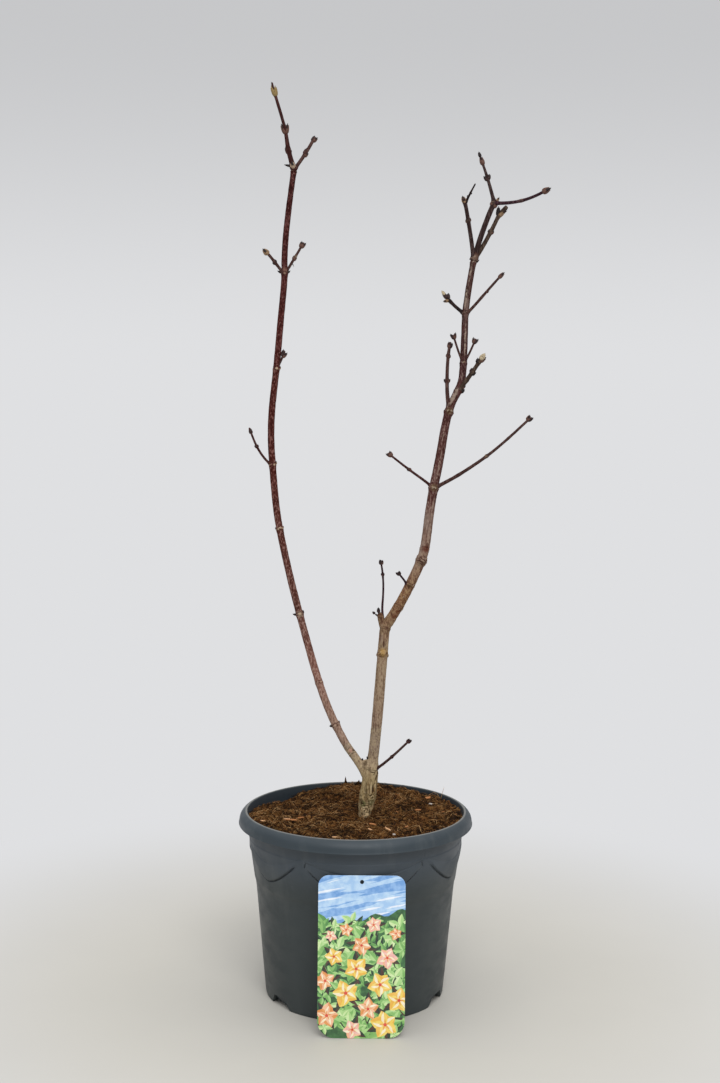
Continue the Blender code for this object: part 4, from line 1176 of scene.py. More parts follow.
def make_crumbs():
    """Lumps of peat, half sunk in the bed."""
    draw = random.Random(11)
    soup = Soup()
    rings = CRUMB_RINGS
    sides = CRUMB_SIDES
    last = 1 + rings * sides
    faces = [tuple(i + 1 for i in face) for face in ring_faces(rings, sides, closed_ends=False)]
    for i in range(sides):
        j = (i + 1) % sides
        faces += [(0, 1 + j, 1 + i), (last - sides + i, last - sides + j, last)]
    for _ in range(CRUMB_COUNT):
        x, y, z = soil_spot(draw)
        size = 0.0006 + 0.0014 * draw.random() ** 2.2
        turn = draw.uniform(0, math.pi)
        long = draw.uniform(1.0, 1.9)
        seed = draw.uniform(0, 50)
        points = [(x, y, z - size)]
        for k in range(rings):
            tilt = math.pi * (k + 1) / (rings + 1)
            for i in range(sides):
                angle = 2 * math.pi * i / sides
                corner = Vector((math.sin(tilt) * math.cos(angle) * long, math.sin(tilt) * math.sin(angle),
                                 -math.cos(tilt) * 0.8))
                corner *= size * (1.0 + 0.45 * noise.noise(corner * 1.4 + Vector((seed, 0, 0))))
                across = corner.x * math.cos(turn) - corner.y * math.sin(turn)
                along = corner.x * math.sin(turn) + corner.y * math.cos(turn)
                points.append((x + across, y + along, z + corner.z + size * 0.15))
        points.append((x, y, z + size * 0.95))
        soup.add(points, faces, draw.choice((0, 0, 0, 1, 1, 2)))
    tints = [plain("crumb_" + name, colour, 0.95) for name, colour in CRUMB_TINTS.items()]
    soup.piece("peat_crumbs", tints)


def strand(soup, points, width, shade, sides=4):
    """A thin fibre through a list of points, pointed at both ends."""
    made = []
    last = len(points) - 1
    for k, point in enumerate(points):
        direction = (points[min(k + 1, last)] - points[max(k - 1, 0)]).normalized()
        across = direction.orthogonal().normalized()
        radius = width / 2 * (0.35 if k in (0, last) else 1.0)
        made += ring(point, across, direction.cross(across), radius, sides)
    soup.add(made, ring_faces(len(points), sides), shade)


def make_fibres():
    """Fibres in loose curls over the peat, pale in some places and dark in others, in two pieces."""
    draw = random.Random(23)
    finishes = [plain("fibre_" + name, *look) for name, look in FIBRE_TINTS.items()]
    for part in "ab":
        soup = Soup()
        for _ in range(FIBRE_COUNT // 2):
            length = 0.005 + 0.022 * draw.random() ** 1.7
            add_fibre(soup, draw, length, draw.uniform(0.0008, 0.0036), draw.uniform(0.00026, 0.00062))
        if part == "a":
            add_tufts(soup, draw)
            add_stalk_and_curl(soup)
        for _ in range(LONG_FIBRES // 2):
            length = draw.uniform(0.014, 0.034)
            add_fibre(soup, draw, length, draw.uniform(0.0016, 0.0040), draw.uniform(0.0004, 0.0007), 0.50)
        soup.piece("peat_fibres_" + part, finishes)


def add_fibre(soup, draw, length, hop, width, paler=0.0):
    """One fibre that follows the peat, in a tint that depends on where it lies."""
    x, y, _ = soil_spot(draw, EDGE_KEEP)
    patch = 1.3 * wobble((x, y, 0.0), 0.0075, 31.0) + 0.8 * wobble((x, y, 0.0), 0.030, 33.0)
    patch += draw.uniform(-0.42, 0.42) + paler
    shade = sum(patch > limit for limit in FIBRE_LIMITS)
    heading = draw.uniform(0, 2 * math.pi)
    bend = math.radians(draw.uniform(-FIBRE_BEND, FIBRE_BEND) / 0.010)
    steps = max(4, round(length / FIBRE_STEP))
    points = []
    for k in range(steps + 1):
        if math.hypot(x, y) > soil_edge(math.atan2(y, x)) - 0.0008:
            break
        rise = 0.0002 + hop * math.sin(math.pi * k / steps)
        points.append(Vector((x, y, soil_height(x, y) + rise)))
        heading += bend * length / steps + draw.uniform(-0.3, 0.3)
        x += length / steps * math.cos(heading)
        y += length / steps * math.sin(heading)
    if len(points) >= 4:
        strand(soup, points, width, shade, 3)


def add_tufts(soup, draw):
    """The spiky tufts at the back of the rim."""
    for right, back, count, spread, reach in TUFTS:
        for _ in range(count):
            off = draw.uniform(-1.0, 1.0)
            foot = Vector((right + spread * off, back - draw.uniform(0.0, 0.004), 0.0))
            foot.z = soil_height(foot.x, foot.y) - 0.001
            height = reach * (1.0 - 0.8 * abs(off)) * draw.uniform(0.7, 1.1)
            tip = Vector((right + spread * off * draw.uniform(0.2, 1.0), foot.y, foot.z + height))
            middle = foot.lerp(tip, 0.5) + Vector((draw.uniform(-0.0006, 0.0006), 0.0, 0.0))
            strand(soup, [foot, middle, tip], draw.uniform(0.0006, 0.0012), draw.choice((0, 0, 0, 1)), 3)


def add_stalk_and_curl(soup):
    """A pale stalk that stands at the right, and a pale fibre that lies in an arc in front of it."""
    straw = list(FIBRE_TINTS).index("straw")
    x, y = STALK_FOOT
    foot = Vector((x, y, soil_height(x, y)))
    strand(soup, [foot + Vector(STALK_RISE) * (k / 5) for k in range(6)], 0.00055, straw)
    x, y, half_wide, half_deep = CURL
    curl = []
    for k in range(15):
        angle = math.radians(84 - 6 * k)
        place = (x + half_wide * math.cos(angle), y + half_deep * math.sin(angle))
        curl.append(Vector((*place, soil_height(*place) + 0.0016 + 0.0024 * math.sin(math.pi * k / 14))))
    strand(soup, curl, 0.0008, straw)


def chip(soup, draw, x, y, length, width, depth, turn, lean, shade, lift=0.0):
    """A flake of bark with an uneven outline, lying on the peat."""
    place = (Matrix.Translation((x, y, soil_height(x, y) + lift + depth * 0.6))
             @ Matrix.Rotation(turn, 4, "Z") @ Matrix.Rotation(lean, 4, "Y"))
    points = []
    for level in (-1, 1):
        for i in range(CHIP_SIDES):
            angle = 2 * math.pi * i / CHIP_SIDES
            reach = draw.uniform(0.75, 1.05)
            corner = (length / 2 * math.cos(angle) * reach, width / 2 * math.sin(angle) * reach,
                      depth / 2 * level * draw.uniform(0.6, 1.0))
            points.append(place @ Vector(corner))
    soup.add(points, ring_faces(2, CHIP_SIDES), shade)


def make_chips():
    """Flakes of bark and wood, and a few white grains."""
    draw = random.Random(37)
    soup = Soup()
    for x, y, length, width, turn, shade in BIG_CHIPS:
        chip(soup, draw, x, y, length, width, 0.0014, math.radians(turn), 0.06, shade, CHIP_LIFT)
    for _ in range(CHIP_COUNT):
        x, y, _ = soil_spot(draw, EDGE_KEEP)
        length = draw.uniform(0.003, 0.0075)
        chip(soup, draw, x, y, length, length * draw.uniform(0.14, 0.36), draw.uniform(0.0005, 0.0011),
             draw.uniform(0, 2 * math.pi), draw.uniform(-0.35, 0.35), draw.choice((0, 0, 0, 1, 1)))
    finishes = [plain(name, *look) for name, look in CHIP_TINTS.items()]
    soup.piece("peat_chips", finishes, sharp=30)


def make_soil():
    make_soil_bed()
    make_crumbs()
    make_fibres()
    make_chips()


# ---------------------------------------------------------------------------
# Bark
# ---------------------------------------------------------------------------
@functools.cache
def around(name, step):
    """The nodes, marks and wrinkles near a whole number of mm along a limb."""
    nodes = [row for row in NODES.get(name, ()) if abs(step - row[0]) < NODE_REACH]
    marks = [row for row in MARKS.get(name, ()) if abs(step - row[0]) < 2 + 1.3 * max(row[2], row[3])]
    wrinkles = [row for row in WRINKLES.get(name, ()) if abs(step - row[0]) < 3 * row[1]]
    return nodes, marks, wrinkles


def crack(point, squeeze, size, seed, width):
    """1 along thin wandering cracks and 0 beside them. The squeeze is upwards."""
    place = (point.x, point.y, point.z * squeeze)
    return max(0.0, 1.0 - abs(wobble(place, size, seed)) / width)


def bark_relief(name, distance, turn, point, radius, scale=1.0):
    """How far the bark stands out from the limb's even width, and how pale or dark it is.

    Relief is worked out in mm. Old bark's cracks and rings shrink with the scale on young twigs.
    """
    at_mm = distance / MM
    nodes, marks, wrinkles = around(name, round(at_mm))
    out = scale * (0.16 * wobble(point, 0.009, 5.0) + 0.08 * wobble(point, 0.0028, 6.0)
                   + 0.10 * wobble((point.x, point.y, point.z * 0.2), 0.0016, 7.0))
    long_crack = crack(point, 0.25, 0.0050, 12.0, 0.10)
    out -= 0.08 * scale * long_crack
    tone = -0.22 * scale * long_crack
    for at, swell, pale in nodes:
        off = at_mm - at - NODE_SLANT * math.cos(2 * math.radians(turn))
        above = hump(off - 1.4, 0.55)
        below = hump(off + 1.5, 0.55)
        out += swell * hump(off, 3.2) * (1.0 if off < 0 else 0.8)
        out += scale * (0.22 * hump(off, 0.6) - 0.25 * above - 0.12 * below)
        patchy = 0.55 + 0.9 * wobble(point, 0.0032, 14.0)
        tone += pale * patchy * hump(off, 2.0) - scale * (0.75 * above + 0.45 * below)
    for at, spread, depth in wrinkles:
        off = at_mm - at
        wave = math.cos(2 * math.pi * (off + 0.5 * math.sin(math.radians(turn) + off)) / WRINKLE_STEP)
        out += depth * wave * hump(off, spread)
        tone += 1.2 * depth * (wave - 0.5) * hump(off, spread)
    for at, side, half_length, half_width, tilt, height, pale in marks:
        along = at_mm - at
        across = math.radians((turn - side + 180) % 360 - 180) * radius / MM
        slant = math.radians(tilt)
        length = along * math.cos(slant) + across * math.sin(slant)
        width = across * math.cos(slant) - along * math.sin(slant)
        far = math.hypot(length / half_length, width / half_width)
        if far < 1.5:
            share = 1 - smoothstep(0.45, 1.0, far)
            if half_length > STREAK_LENGTH:
                share *= max(0.0, min(1.0, 0.75 + 1.1 * wobble(point, 0.0026, 15.0)))
            out += height * share
            tone += (pale - tone) * share
            if height > 0 and pale > 0.3:
                edge = hump(far - 1.12, 0.16)
                out -= 0.20 * edge
                tone -= 0.5 * edge
    return out * MM, max(-1.0, min(1.0, tone))


def main_bark(finish, tone, bloom, flecks):
    """What all the bark shares: long streaks, patches and small flecks, some darker and some paler."""
    streaks = finish.noise(320.0, (1.0, 1.0, 0.12), 4.0, 0.6)
    tone = finish.over(tone, streaks, 0.50, 0.64, 0.65, (0.50, 0.44, 0.40), "MULTIPLY")
    tone = finish.over(tone, streaks, 0.46, 0.34, 0.40, bloom)
    fine = finish.noise(640.0, (1.0, 1.0, 0.45), 2.0, 0.5)
    tone = finish.over(tone, fine, 0.53, 0.62, flecks, bloom)
    tone = finish.over(tone, fine, 0.46, 0.36, 0.7, (0.48, 0.42, 0.40), "MULTIPLY")
    return tone, fine


def pores(finish, tone, cell, stretch, size, colour, share):
    """Small pale corky pores."""
    spots = finish.spread(finish.cells(1 / cell, (1.0, 1.0, stretch)), size, size * 0.55)
    kept = finish.spread(finish.noise(160.0, detail=2.0), 0.42, 0.60, 0.0, share)
    return finish.mix(finish.times(spots, kept), tone, colour)


def spot(finish, tone, place, reach, colour, share):
    """A patch of another colour round one place, with a ragged edge."""
    frayed = finish.spread(finish.noise(420.0), 0.25, 0.55, 0.5, 1.0)
    patch = finish.times(finish.near(place, reach), frayed)
    return finish.mix(finish.times(patch, share), tone, colour)


def limb_spots(finish, tone, limb, rows):
    """Patches on a limb, as rows of distance, turn, reach, colour and share."""
    for at, turn, reach, colour, share in rows:
        tone = spot(finish, tone, limb.place(at, turn)[0], reach * MM, colour, share)
    return tone


def trunk_bark(limbs):
    finish = Finish("trunk_bark", (0.2, 0.16, 0.10), 0.85, 0.05)
    tone = finish.by_height(0.219, 0.330, (
        (0.00, (0.86, 0.640, 0.370)), (0.10, (0.60, 0.440, 0.235)), (0.24, (0.37, 0.270, 0.130)),
        (0.45, (0.38, 0.280, 0.142)), (0.60, (0.38, 0.285, 0.180)), (0.80, (0.300, 0.222, 0.160)),
        (1.00, BARK_LOW)))
    tone, fine = main_bark(finish, tone, (0.46, 0.36, 0.20), 0.35)
    wrinkles = finish.noise(420.0, (0.6, 0.6, 1.5), 4.0, 0.65)
    old = finish.spread(finish.height(), 0.272, 0.250, 0.25, 1.0)
    for low, high, share, colour in ((0.54, 0.66, 0.8, (0.050, 0.032, 0.016)),
                                     (0.43, 0.33, 0.6, (0.52, 0.43, 0.27))):
        kept = finish.times(finish.spread(wrinkles, low, high), finish.times(old, share))
        tone = finish.mix(kept, tone, colour)
    tone = limb_spots(finish, tone, limbs["trunk"], (
        (19, 240, 6.0, (0.065, 0.105, 0.030), 0.75), (22, 298, 6.5, (0.085, 0.100, 0.035), 0.6),
        (38, 300, 6.0, (0.24, 0.115, 0.035), 0.7)))
    tone = finish.marked(tone, (0.60, 0.49, 0.31), (0.040, 0.024, 0.012))
    tone = limb_spots(finish, tone, limbs["left_bough"], ((43.5, 275, 3.4, (0.38, 0.195, 0.145), 0.8),))
    # Painted shade: a dark patch at the front of the crotch, where the boughs part.
    tone = spot(finish, tone, CROTCH_PAINTED_SHADE, 0.0048, (0.055, 0.032, 0.014), 0.8)
    finish.colour(tone)
    finish.bump(finish.mix(0.5, wrinkles, fine), 0.0006, 0.9)
    return finish.material


def right_bough_bark(limbs):
    finish = Finish("right_bough_bark", BARK_LOW, 0.85, 0.05)
    tone = finish.by_height(0.28, 0.92, (
        (0.00, BARK_LOW), (0.12, (0.290, 0.200, 0.135)), (0.24, (0.285, 0.205, 0.125)),
        (0.34, (0.190, 0.096, 0.047)), (0.42, (0.215, 0.135, 0.100)), (0.475, (0.190, 0.115, 0.088)),
        (0.510, (0.105, 0.044, 0.036)), (0.56, (0.092, 0.037, 0.032)), (0.64, (0.075, 0.030, 0.027)),
        (0.70, (0.052, 0.019, 0.018)), (0.80, (0.040, 0.017, 0.016)), (1.00, (0.048, 0.027, 0.023))))
    pinkish = finish.by_height(0.40, 0.60, (
        (0.0, (0.255, 0.165, 0.118)), (0.5, (0.150, 0.060, 0.034)), (1.0, (0.070, 0.026, 0.023))))
    tone = finish.over(tone, finish.noise(110.0, (1.0, 1.0, 0.4), 3.0), 0.48, 0.60, 0.65, pinkish)
    bloom = finish.by_height(0.40, 0.92, (
        (0.0, (0.36, 0.275, 0.185)), (0.2, (0.34, 0.235, 0.115)), (0.36, (0.32, 0.240, 0.190)),
        (0.60, (0.23, 0.140, 0.125)), (0.75, (0.17, 0.105, 0.100)), (1.0, (0.11, 0.070, 0.062))))
    tone, fine = main_bark(finish, tone, bloom, 0.55)
    share = finish.ramp(finish.height(), [(place, (value,) * 3) for place, value in (
        (0.52, 0.0), (0.56, 0.6), (0.595, 0.5), (0.615, 0.0), (0.83, 0.0), (0.86, 0.5), (0.88, 0.0))])
    grey = finish.times(finish.spread(finish.noise(75.0, (1.0, 1.0, 0.5), 2.0), 0.46, 0.58), share)
    tone = finish.mix(grey, tone, (0.27, 0.205, 0.165))
    tone = limb_spots(finish, tone, limbs["right_bough"], (
        (149, 272, 7.8, (0.40, 0.235, 0.065), 0.8), (199, 285, 4.4, (0.10, 0.030, 0.012), 0.85),
        (206, 290, 4.4, (0.10, 0.030, 0.012), 0.85), (241, 265, 4.5, (0.085, 0.055, 0.022), 0.8),
        (290, 280, 6.2, (0.10, 0.025, 0.014), 0.85), (272, 285, 7.0, (0.11, 0.080, 0.045), 0.6),
        (364, 270, 6.0, (0.190, 0.140, 0.070), 0.7), (457, 270, 6.0, (0.150, 0.110, 0.055), 0.7)))
    tone = limb_spots(finish, tone, limbs["crown_twig_middle"], (
        (4, 270, 6.2, (0.190, 0.130, 0.092), 0.75),))
    # Besides real marks, the marked tones carry the streaks of painted light and painted shade.
    finish.colour(finish.marked(tone, (0.34, 0.265, 0.205), (0.050, 0.018, 0.012)))
    finish.bump(fine, 0.0004, 0.8)
    return finish.material


def left_bough_bark(limbs):
    finish = Finish("left_bough_bark", BARK_LOW, 0.85, 0.05)
    tone = finish.by_height(0.28, 1.01, (
        (0.00, BARK_LOW), (0.05, (0.280, 0.185, 0.135)), (0.16, (0.210, 0.100, 0.076)),
        (0.25, (0.108, 0.044, 0.032)), (0.34, (0.082, 0.027, 0.020)), (0.50, (0.062, 0.014, 0.010)),
        (0.75, (0.058, 0.013, 0.011)), (1.00, (0.036, 0.009, 0.008))))
    bloom = finish.by_height(0.30, 0.90, (
        (0.0, (0.38, 0.28, 0.21)), (0.25, (0.36, 0.235, 0.195)), (0.55, (0.25, 0.120, 0.100)),
        (1.0, (0.15, 0.060, 0.055))))
    tone, fine = main_bark(finish, tone, bloom, 0.60)
    tone = pores(finish, tone, 0.0030, 0.7, 0.15, (0.46, 0.33, 0.26), 0.7)
    tone = limb_spots(finish, tone, limbs["left_bough"], (
        (225, 275, 5.5, (0.26, 0.20, 0.14), 0.75), (654, 275, 5.0, (0.20, 0.105, 0.080), 0.7)))
    finish.colour(finish.marked(tone, (0.42, 0.31, 0.21), (0.036, 0.014, 0.012)))
    finish.bump(fine, 0.0003, 0.8)
    return finish.material


def twig_bark(name, colour, other):
    finish = Finish("twig_" + name, colour, 0.75, 0.06)
    streaks = finish.noise(420.0, (1.0, 1.0, 0.25), 4.0, 0.6)
    tone = finish.over(colour, streaks, 0.46, 0.64, 1.0, other)
    finish.colour(finish.marked(tone, (0.30, 0.22, 0.145), (0.022, 0.011, 0.010)))
    finish.bump(streaks, 0.0003, 0.6)
    return finish.material


# ---------------------------------------------------------------------------
# Limbs
# ---------------------------------------------------------------------------
def bark_tube(limb, first, last, sides, fit):
    """Points, faces and tones of a limb's bark between two distances.

    fit gives how much narrower the tube is at a distance, where it meets another piece.
    """
    points = []
    tones = []
    scale = min(1.0, (limb.widths[0] / OLD_BARK_WIDTH) ** 1.6)
    for k in range(limb.station_index(first), limb.station_index(last) + 1):
        distance = limb.stations[k]
        _, across, beside = limb.frames[k]
        radius = limb.width(distance) / 2 - fit(distance)
        for i in range(sides):
            angle = 2 * math.pi * i / sides
            outward = across * math.cos(angle) + beside * math.sin(angle)
            near = limb.points[k] + outward * radius
            out, tone = bark_relief(limb.name, distance, math.degrees(angle), near, radius, scale)
            points.append(near + outward * out)
            tones.append(tone)
    return points, ring_faces(len(points) // sides, sides), tones


def even_tube(limb, last, sides, radius_at, offset=Vector()):
    """Points and faces of a smooth tube along a limb, from its foot."""
    points = []
    for k in range(limb.station_index(last) + 1):
        _, across, beside = limb.frames[k]
        points += ring(limb.points[k] + offset, across, beside, radius_at(limb.stations[k]), sides)
    return points, ring_faces(len(points) // sides, sides)


def rounded(distance, end, reach):
    """1 along a limb, falling to nearly 0 in a round end."""
    past = max(0.0, min(1.0, (distance - (end - reach)) / reach))
    return math.sqrt(max(0.01, 1 - past * past))


class LimbFinder:
    """Finds which of the main limbs a point lies on, and where on it."""

    def __init__(self, limbs):
        self.limbs = [limbs[name] for name in MAIN_LIMBS]
        self.trees = []
        for limb in self.limbs:
            tree = kdtree.KDTree(len(limb.points))
            for k, point in enumerate(limb.points):
                tree.insert(point, k)
            tree.balance()
            self.trees.append(tree)

    def find(self, point):
        found = None
        for limb, tree in zip(self.limbs, self.trees):
            _, k, far = tree.find(point)
            depth = far - limb.width(limb.stations[k]) / 2
            if found is None or depth < found[0]:
                found = (depth, limb, k)
        _, limb, k = found
        direction, across, beside = limb.frames[k]
        away = point - limb.points[k]
        turn = math.degrees(math.atan2(away.dot(beside), away.dot(across))) % 360
        return limb, limb.stations[k] + away.dot(direction), turn


def fork_skin(limbs):
    """The trunk and the feet of both boughs, melted into one skin with a soft crotch."""
    soup = Soup()
    trunk = limbs["trunk"]
    soup.add(*even_tube(trunk, trunk.length, 32, lambda distance: (
        trunk.width(distance) / 2 * rounded(distance, trunk.length, TRUNK_DOME))))
    for name, (flare, reach) in BOUGH_FLARE.items():
        limb = limbs[name]

        def radius(distance, limb=limb, flare=flare, reach=reach):
            sink = STUB_SINK * smoothstep(TRUNK_STUB - STUB_OVERLAP, TRUNK_STUB, distance)
            return limb.width(distance) / 2 + flare * hump(distance, reach) - sink
        soup.add(*even_tube(limb, TRUNK_STUB, 32, radius))
    middle, reach = CROTCH
    lump = []
    for k in range(16):
        rise = math.pi * (k + 0.5) / 16
        centre = Vector(middle) + Vector((0.0, 0.0, math.cos(rise) * reach))
        lump += ring(centre, Vector((1.0, 0.0, 0.0)), Vector((0.0, 1.0, 0.0)), math.sin(rise) * reach, 24)
    soup.add(lump, ring_faces(16, 24))
    rough = add_object("fork_rough", soup.mesh("fork_rough"))
    remesh = rough.modifiers.new("melt", "REMESH")
    remesh.mode = "VOXEL"
    remesh.voxel_size = FORK_VOXEL
    soften = rough.modifiers.new("soften", "SMOOTH")
    soften.factor = 0.5
    soften.iterations = 14
    made = bpy.data.meshes.new_from_object(rough.evaluated_get(bpy.context.evaluated_depsgraph_get()))
    bpy.data.objects.remove(rough)
    return made


def old_bark(point):
    """The extra knots and cracks of the trunk's old bark, as relief in mm and a tone."""
    old = 1 - smoothstep(*OLD_BARK_HEIGHTS, point.z)
    low = 1 - smoothstep(*FOOT_CRACK_HEIGHTS, point.z)
    knots = wobble(point, 0.0065, 9.0)
    long_crack = crack(point, 0.40, 0.0062, 10.0, 0.13)
    cross_crack = low * crack(point, 1.5, 0.0048, 8.0, 0.14)
    return (old * (0.45 * knots - 0.45 * long_crack - 0.35 * cross_crack),
            old * (0.25 * knots - 0.70 * long_crack - 0.60 * cross_crack))


def make_fork(limbs):
    mesh = fork_skin(limbs)
    finder = LimbFinder(limbs)
    foot = TRUNK_FOOT[2]
    taper, reach = FOOT_TAPER
    moved = []
    tones = []
    for vertex in mesh.vertices:
        point = vertex.co
        limb, distance, turn = finder.find(point)
        out, tone = bark_relief(limb.name, distance, turn, point, limb.width(distance) / 2)
        more_out, more_tone = old_bark(point)
        out += more_out * MM
        low = 1 - smoothstep(0.0, reach, point.z - foot)
        narrow = taper * low * max(0.0, math.cos(math.radians(turn)))
        keep = smoothstep(foot - 0.001, foot + 0.002, point.z)
        moved.append(point + vertex.normal * out * keep - Vector((narrow, 0.0, 0.0)))
        tones.append(max(-1.0, min(1.0, tone + more_tone)))
    for vertex, place in zip(mesh.vertices, moved):
        vertex.co = place
    mark_tones(mesh, tones)
    mesh.materials.clear()
    mesh.materials.append(trunk_bark(limbs))
    mesh.shade_smooth()
    mesh.name = "fork_bark"
    add_piece("fork_bark", mesh, ("trunk",))


def make_bough(limbs, name, finish, sides, parts, stumps=()):
    """A bough's bark from inside the fork's skin to its tip, with stumps at the feet of some twigs."""
    soup = Soup()

    def fit(distance):
        return STUB_SINK * (1 - smoothstep(TRUNK_STUB - STUB_OVERLAP, TRUNK_STUB, distance))
    points, faces, tones = bark_tube(limbs[name], BOUGH_START, limbs[name].length, sides, fit)
    soup.add(points, faces, tones=tones)
    for twig, size in stumps:
        add_stump(soup, limbs[twig], *size)
    soup.piece(name + "_bark", [finish], [name + "_" + part for part in parts])


def add_stump(soup, twig, length, width, offset):
    """A stump of old bark at a twig's foot: the shoulder beside a bend, or the knob where twigs part."""
    points, faces = even_tube(twig, length, 24, lambda distance: (
        width / 2 * rounded(distance, length, 0.003) * (1.15 - 0.2 * distance / length)),
        Vector((-offset, 0.0, 0.0)))
    tones = []
    for i, point in enumerate(points):
        points[i] = point + Vector((wobble(point, 0.003, 3.0), 0.0, 0.0)) * 0.0004
        tones.append(0.9 * wobble(point, 0.0028, 4.0) + 0.05 - 0.6 * i / len(points))
    soup.add(points, faces, tones=tones)


def make_twigs(limbs):
    soup = Soup()
    tints = list(TWIG_TINTS)
    tint_of = {name: tint for tint, names in TWIGS_OF_TINT.items() for name in names}
    for name in TWIGS:
        limb = limbs[name]
        edge = limbs[limb.parent].width(limb.at * MM) / 2

        def fit(distance, limb=limb, edge=edge):
            full = TWIG_FULLNESS * rounded(distance, limb.length, TWIG_DOME)
            return limb.width(distance) / 2 * (1 - full) - COLLAR * hump(distance - edge, COLLAR_REACH)
        points, faces, tones = bark_tube(limb, 0.0, limb.length, 14, fit)
        soup.add(points, faces, tints.index(tint_of.get(name, "brown")), tones)
    finishes = [twig_bark(name, *TWIG_TINTS[name]) for name in tints]
    soup.piece("twigs", finishes, TWIGS)


# ---------------------------------------------------------------------------
# Buds, spurs and stubs
# ---------------------------------------------------------------------------
def lobe(soup, base, direction, length, width, shade, sides=9, rings=9):
    """A pointed oval, rounded at its foot, such as a bud scale."""
    across, beside = square_to(direction)
    points = []
    for k in range(rings):
        share = 0.012 + 0.980 * k / (rings - 1)
        radius = width / 2 * BULGE * share ** FOOT_POWER * (1 - share) ** TIP_POWER
        points += ring(base + direction * length * share, across, beside, radius, sides)
    soup.add(points, ring_faces(rings, sides), shade)


def bud(soup, base, direction, length, width, tint):
    """A bud of a dark core in two pairs of overlapping scales."""
    tints = list(BUD_TINTS)
    scale_shade = tints.index(tint)
    core_shade = scale_shade if tint in ("green", "cream") else tints.index("black")
    across, beside = square_to(direction)
    lobe(soup, base, direction, length, width * 0.84, core_shade)
    for away, share, wide in ((across, 0.86, 0.72), (beside, 0.62, 0.76)):
        for side in (away, -away):
            lobe(soup, base + side * width * 0.15, (direction + side * 0.07).normalized(), length * share,
                 width * wide, scale_shade)


def each(rows_of):
    """Every row of a table by limbs, after its limb's name."""
    return [(name, *row) for name, rows in rows_of.items() for row in rows]


def make_buds(limbs):
    soup = Soup()
    for name, at, turn, lean, length, width, tint in each(SIDE_BUDS):
        base, heading = limbs[name].aim(at, turn, lean, -width * 0.30)
        bud(soup, base, heading, length * MM, width * MM * BUD_FULLNESS, tint)
    for name, at, turn, lean, length, width, tint in each(TIP_BUDS):
        limb = limbs[name]
        base, heading = limb.aim(at, turn, lean, -limb.width(at * MM) / 2 / MM)
        bud(soup, base, heading, length * MM * TIP_BUD_LENGTH, width * MM * BUD_FULLNESS, tint)
    dark = list(BUD_TINTS).index("black")
    for name, at, turn, lean, stalk, thick, length, width, out in STALKED_BUDS:
        base, heading = limbs[name].aim(at, turn, lean, out)
        strand(soup, [base + heading * stalk * MM * (k / 4 - 0.25) for k in range(6)], thick * MM, dark, 8)
        bud(soup, base + heading * stalk * MM, heading, length * MM, width * MM, "dark")
    for name, at, turn, lean, length, width in each(THORNS):
        base, heading = limbs[name].aim(at, turn, lean, -0.6)
        lobe(soup, base, heading, length * MM, width * MM, dark)
    finishes = [plain("bud_" + name, colour, 0.55, 900.0, 0.3, 0.00012, 0.2)
                for name, colour in BUD_TINTS.items()]
    soup.piece("buds", finishes)


def make_plant():
    limbs = {name: Limb(name, BARK_STEP if name in MAIN_LIMBS else TWIG_STEP) for name in LIMBS}
    make_fork(limbs)
    make_bough(limbs, "right_bough", right_bough_bark(limbs), 56, ("lower", "bend", "middle", "upper"),
               (("right_low_upright_twig", SHOULDER), ("crown_twig_middle", CROWN_KNOB)))
    make_bough(limbs, "left_bough", left_bough_bark(limbs), 48, ("lower", "middle", "upper"))
    make_twigs(limbs)
    make_buds(limbs)


# ---------------------------------------------------------------------------
# Picture card
# ---------------------------------------------------------------------------
def rounded_outline(steps=10):
    """The card's outline in its own plane, anticlockwise, with its foot at height 0."""
    half = CARD_WIDTH / 2
    corners = ((half, 0.0, CARD_FOOT_CORNER, -90), (half, CARD_LENGTH, CARD_TOP_CORNER, 0),
               (-half, CARD_LENGTH, CARD_TOP_CORNER, 90), (-half, 0.0, CARD_FOOT_CORNER, 180))
    outline = []
    for x, z, radius, first in corners:
        centre_x = x - math.copysign(radius, x)
        centre_z = z + radius if z == 0.0 else z - radius
        for k in range(steps + 1):
            angle = math.radians(first + 90 * k / steps)
            outline.append((centre_x + radius * math.cos(angle), centre_z + radius * math.sin(angle)))
    return outline


def circle(x, z, radius, sides=20):
    return [(x + radius * math.cos(2 * math.pi * i / sides), z + radius * math.sin(2 * math.pi * i / sides))
            for i in range(sides)]


def half_leaf(x, z, heading, length, width, side, steps=5):
    """One half of a pointed leaf, between its midrib and its edge."""
    along = Vector((math.cos(heading), math.sin(heading)))
    across = Vector((-along.y, along.x)) * side
    foot = Vector((x, z))
    edge = []
    for k in range(1, steps):
        share = k / steps
        edge.append(foot + along * length * share + across * width / 2 * math.sin(math.pi * share ** 0.8))
    outline = [foot] + edge + [foot + along * length]
    if side > 0:
        outline.reverse()
    return [tuple(point) for point in outline]


def leaf(shapes, x, z, heading, length, width, tints):
    """A pointed oval leaf in two halves, one lighter than the other."""
    shapes.append((half_leaf(x, z, heading, length, width, 1), tints[0]))
    shapes.append((half_leaf(x, z, heading, length, width, -1), tints[1]))


def whorl(shapes, draw, x, z, size, tints, first, count, slimness):
    """Leaves or petals round one point."""
    for k in range(count):
        heading = math.radians(first + 360 * k / count + draw.uniform(-9, 9))
        length = size * draw.uniform(0.85, 1.1)
        leaf(shapes, x, z, heading, length, length * slimness, draw.choice(tints))


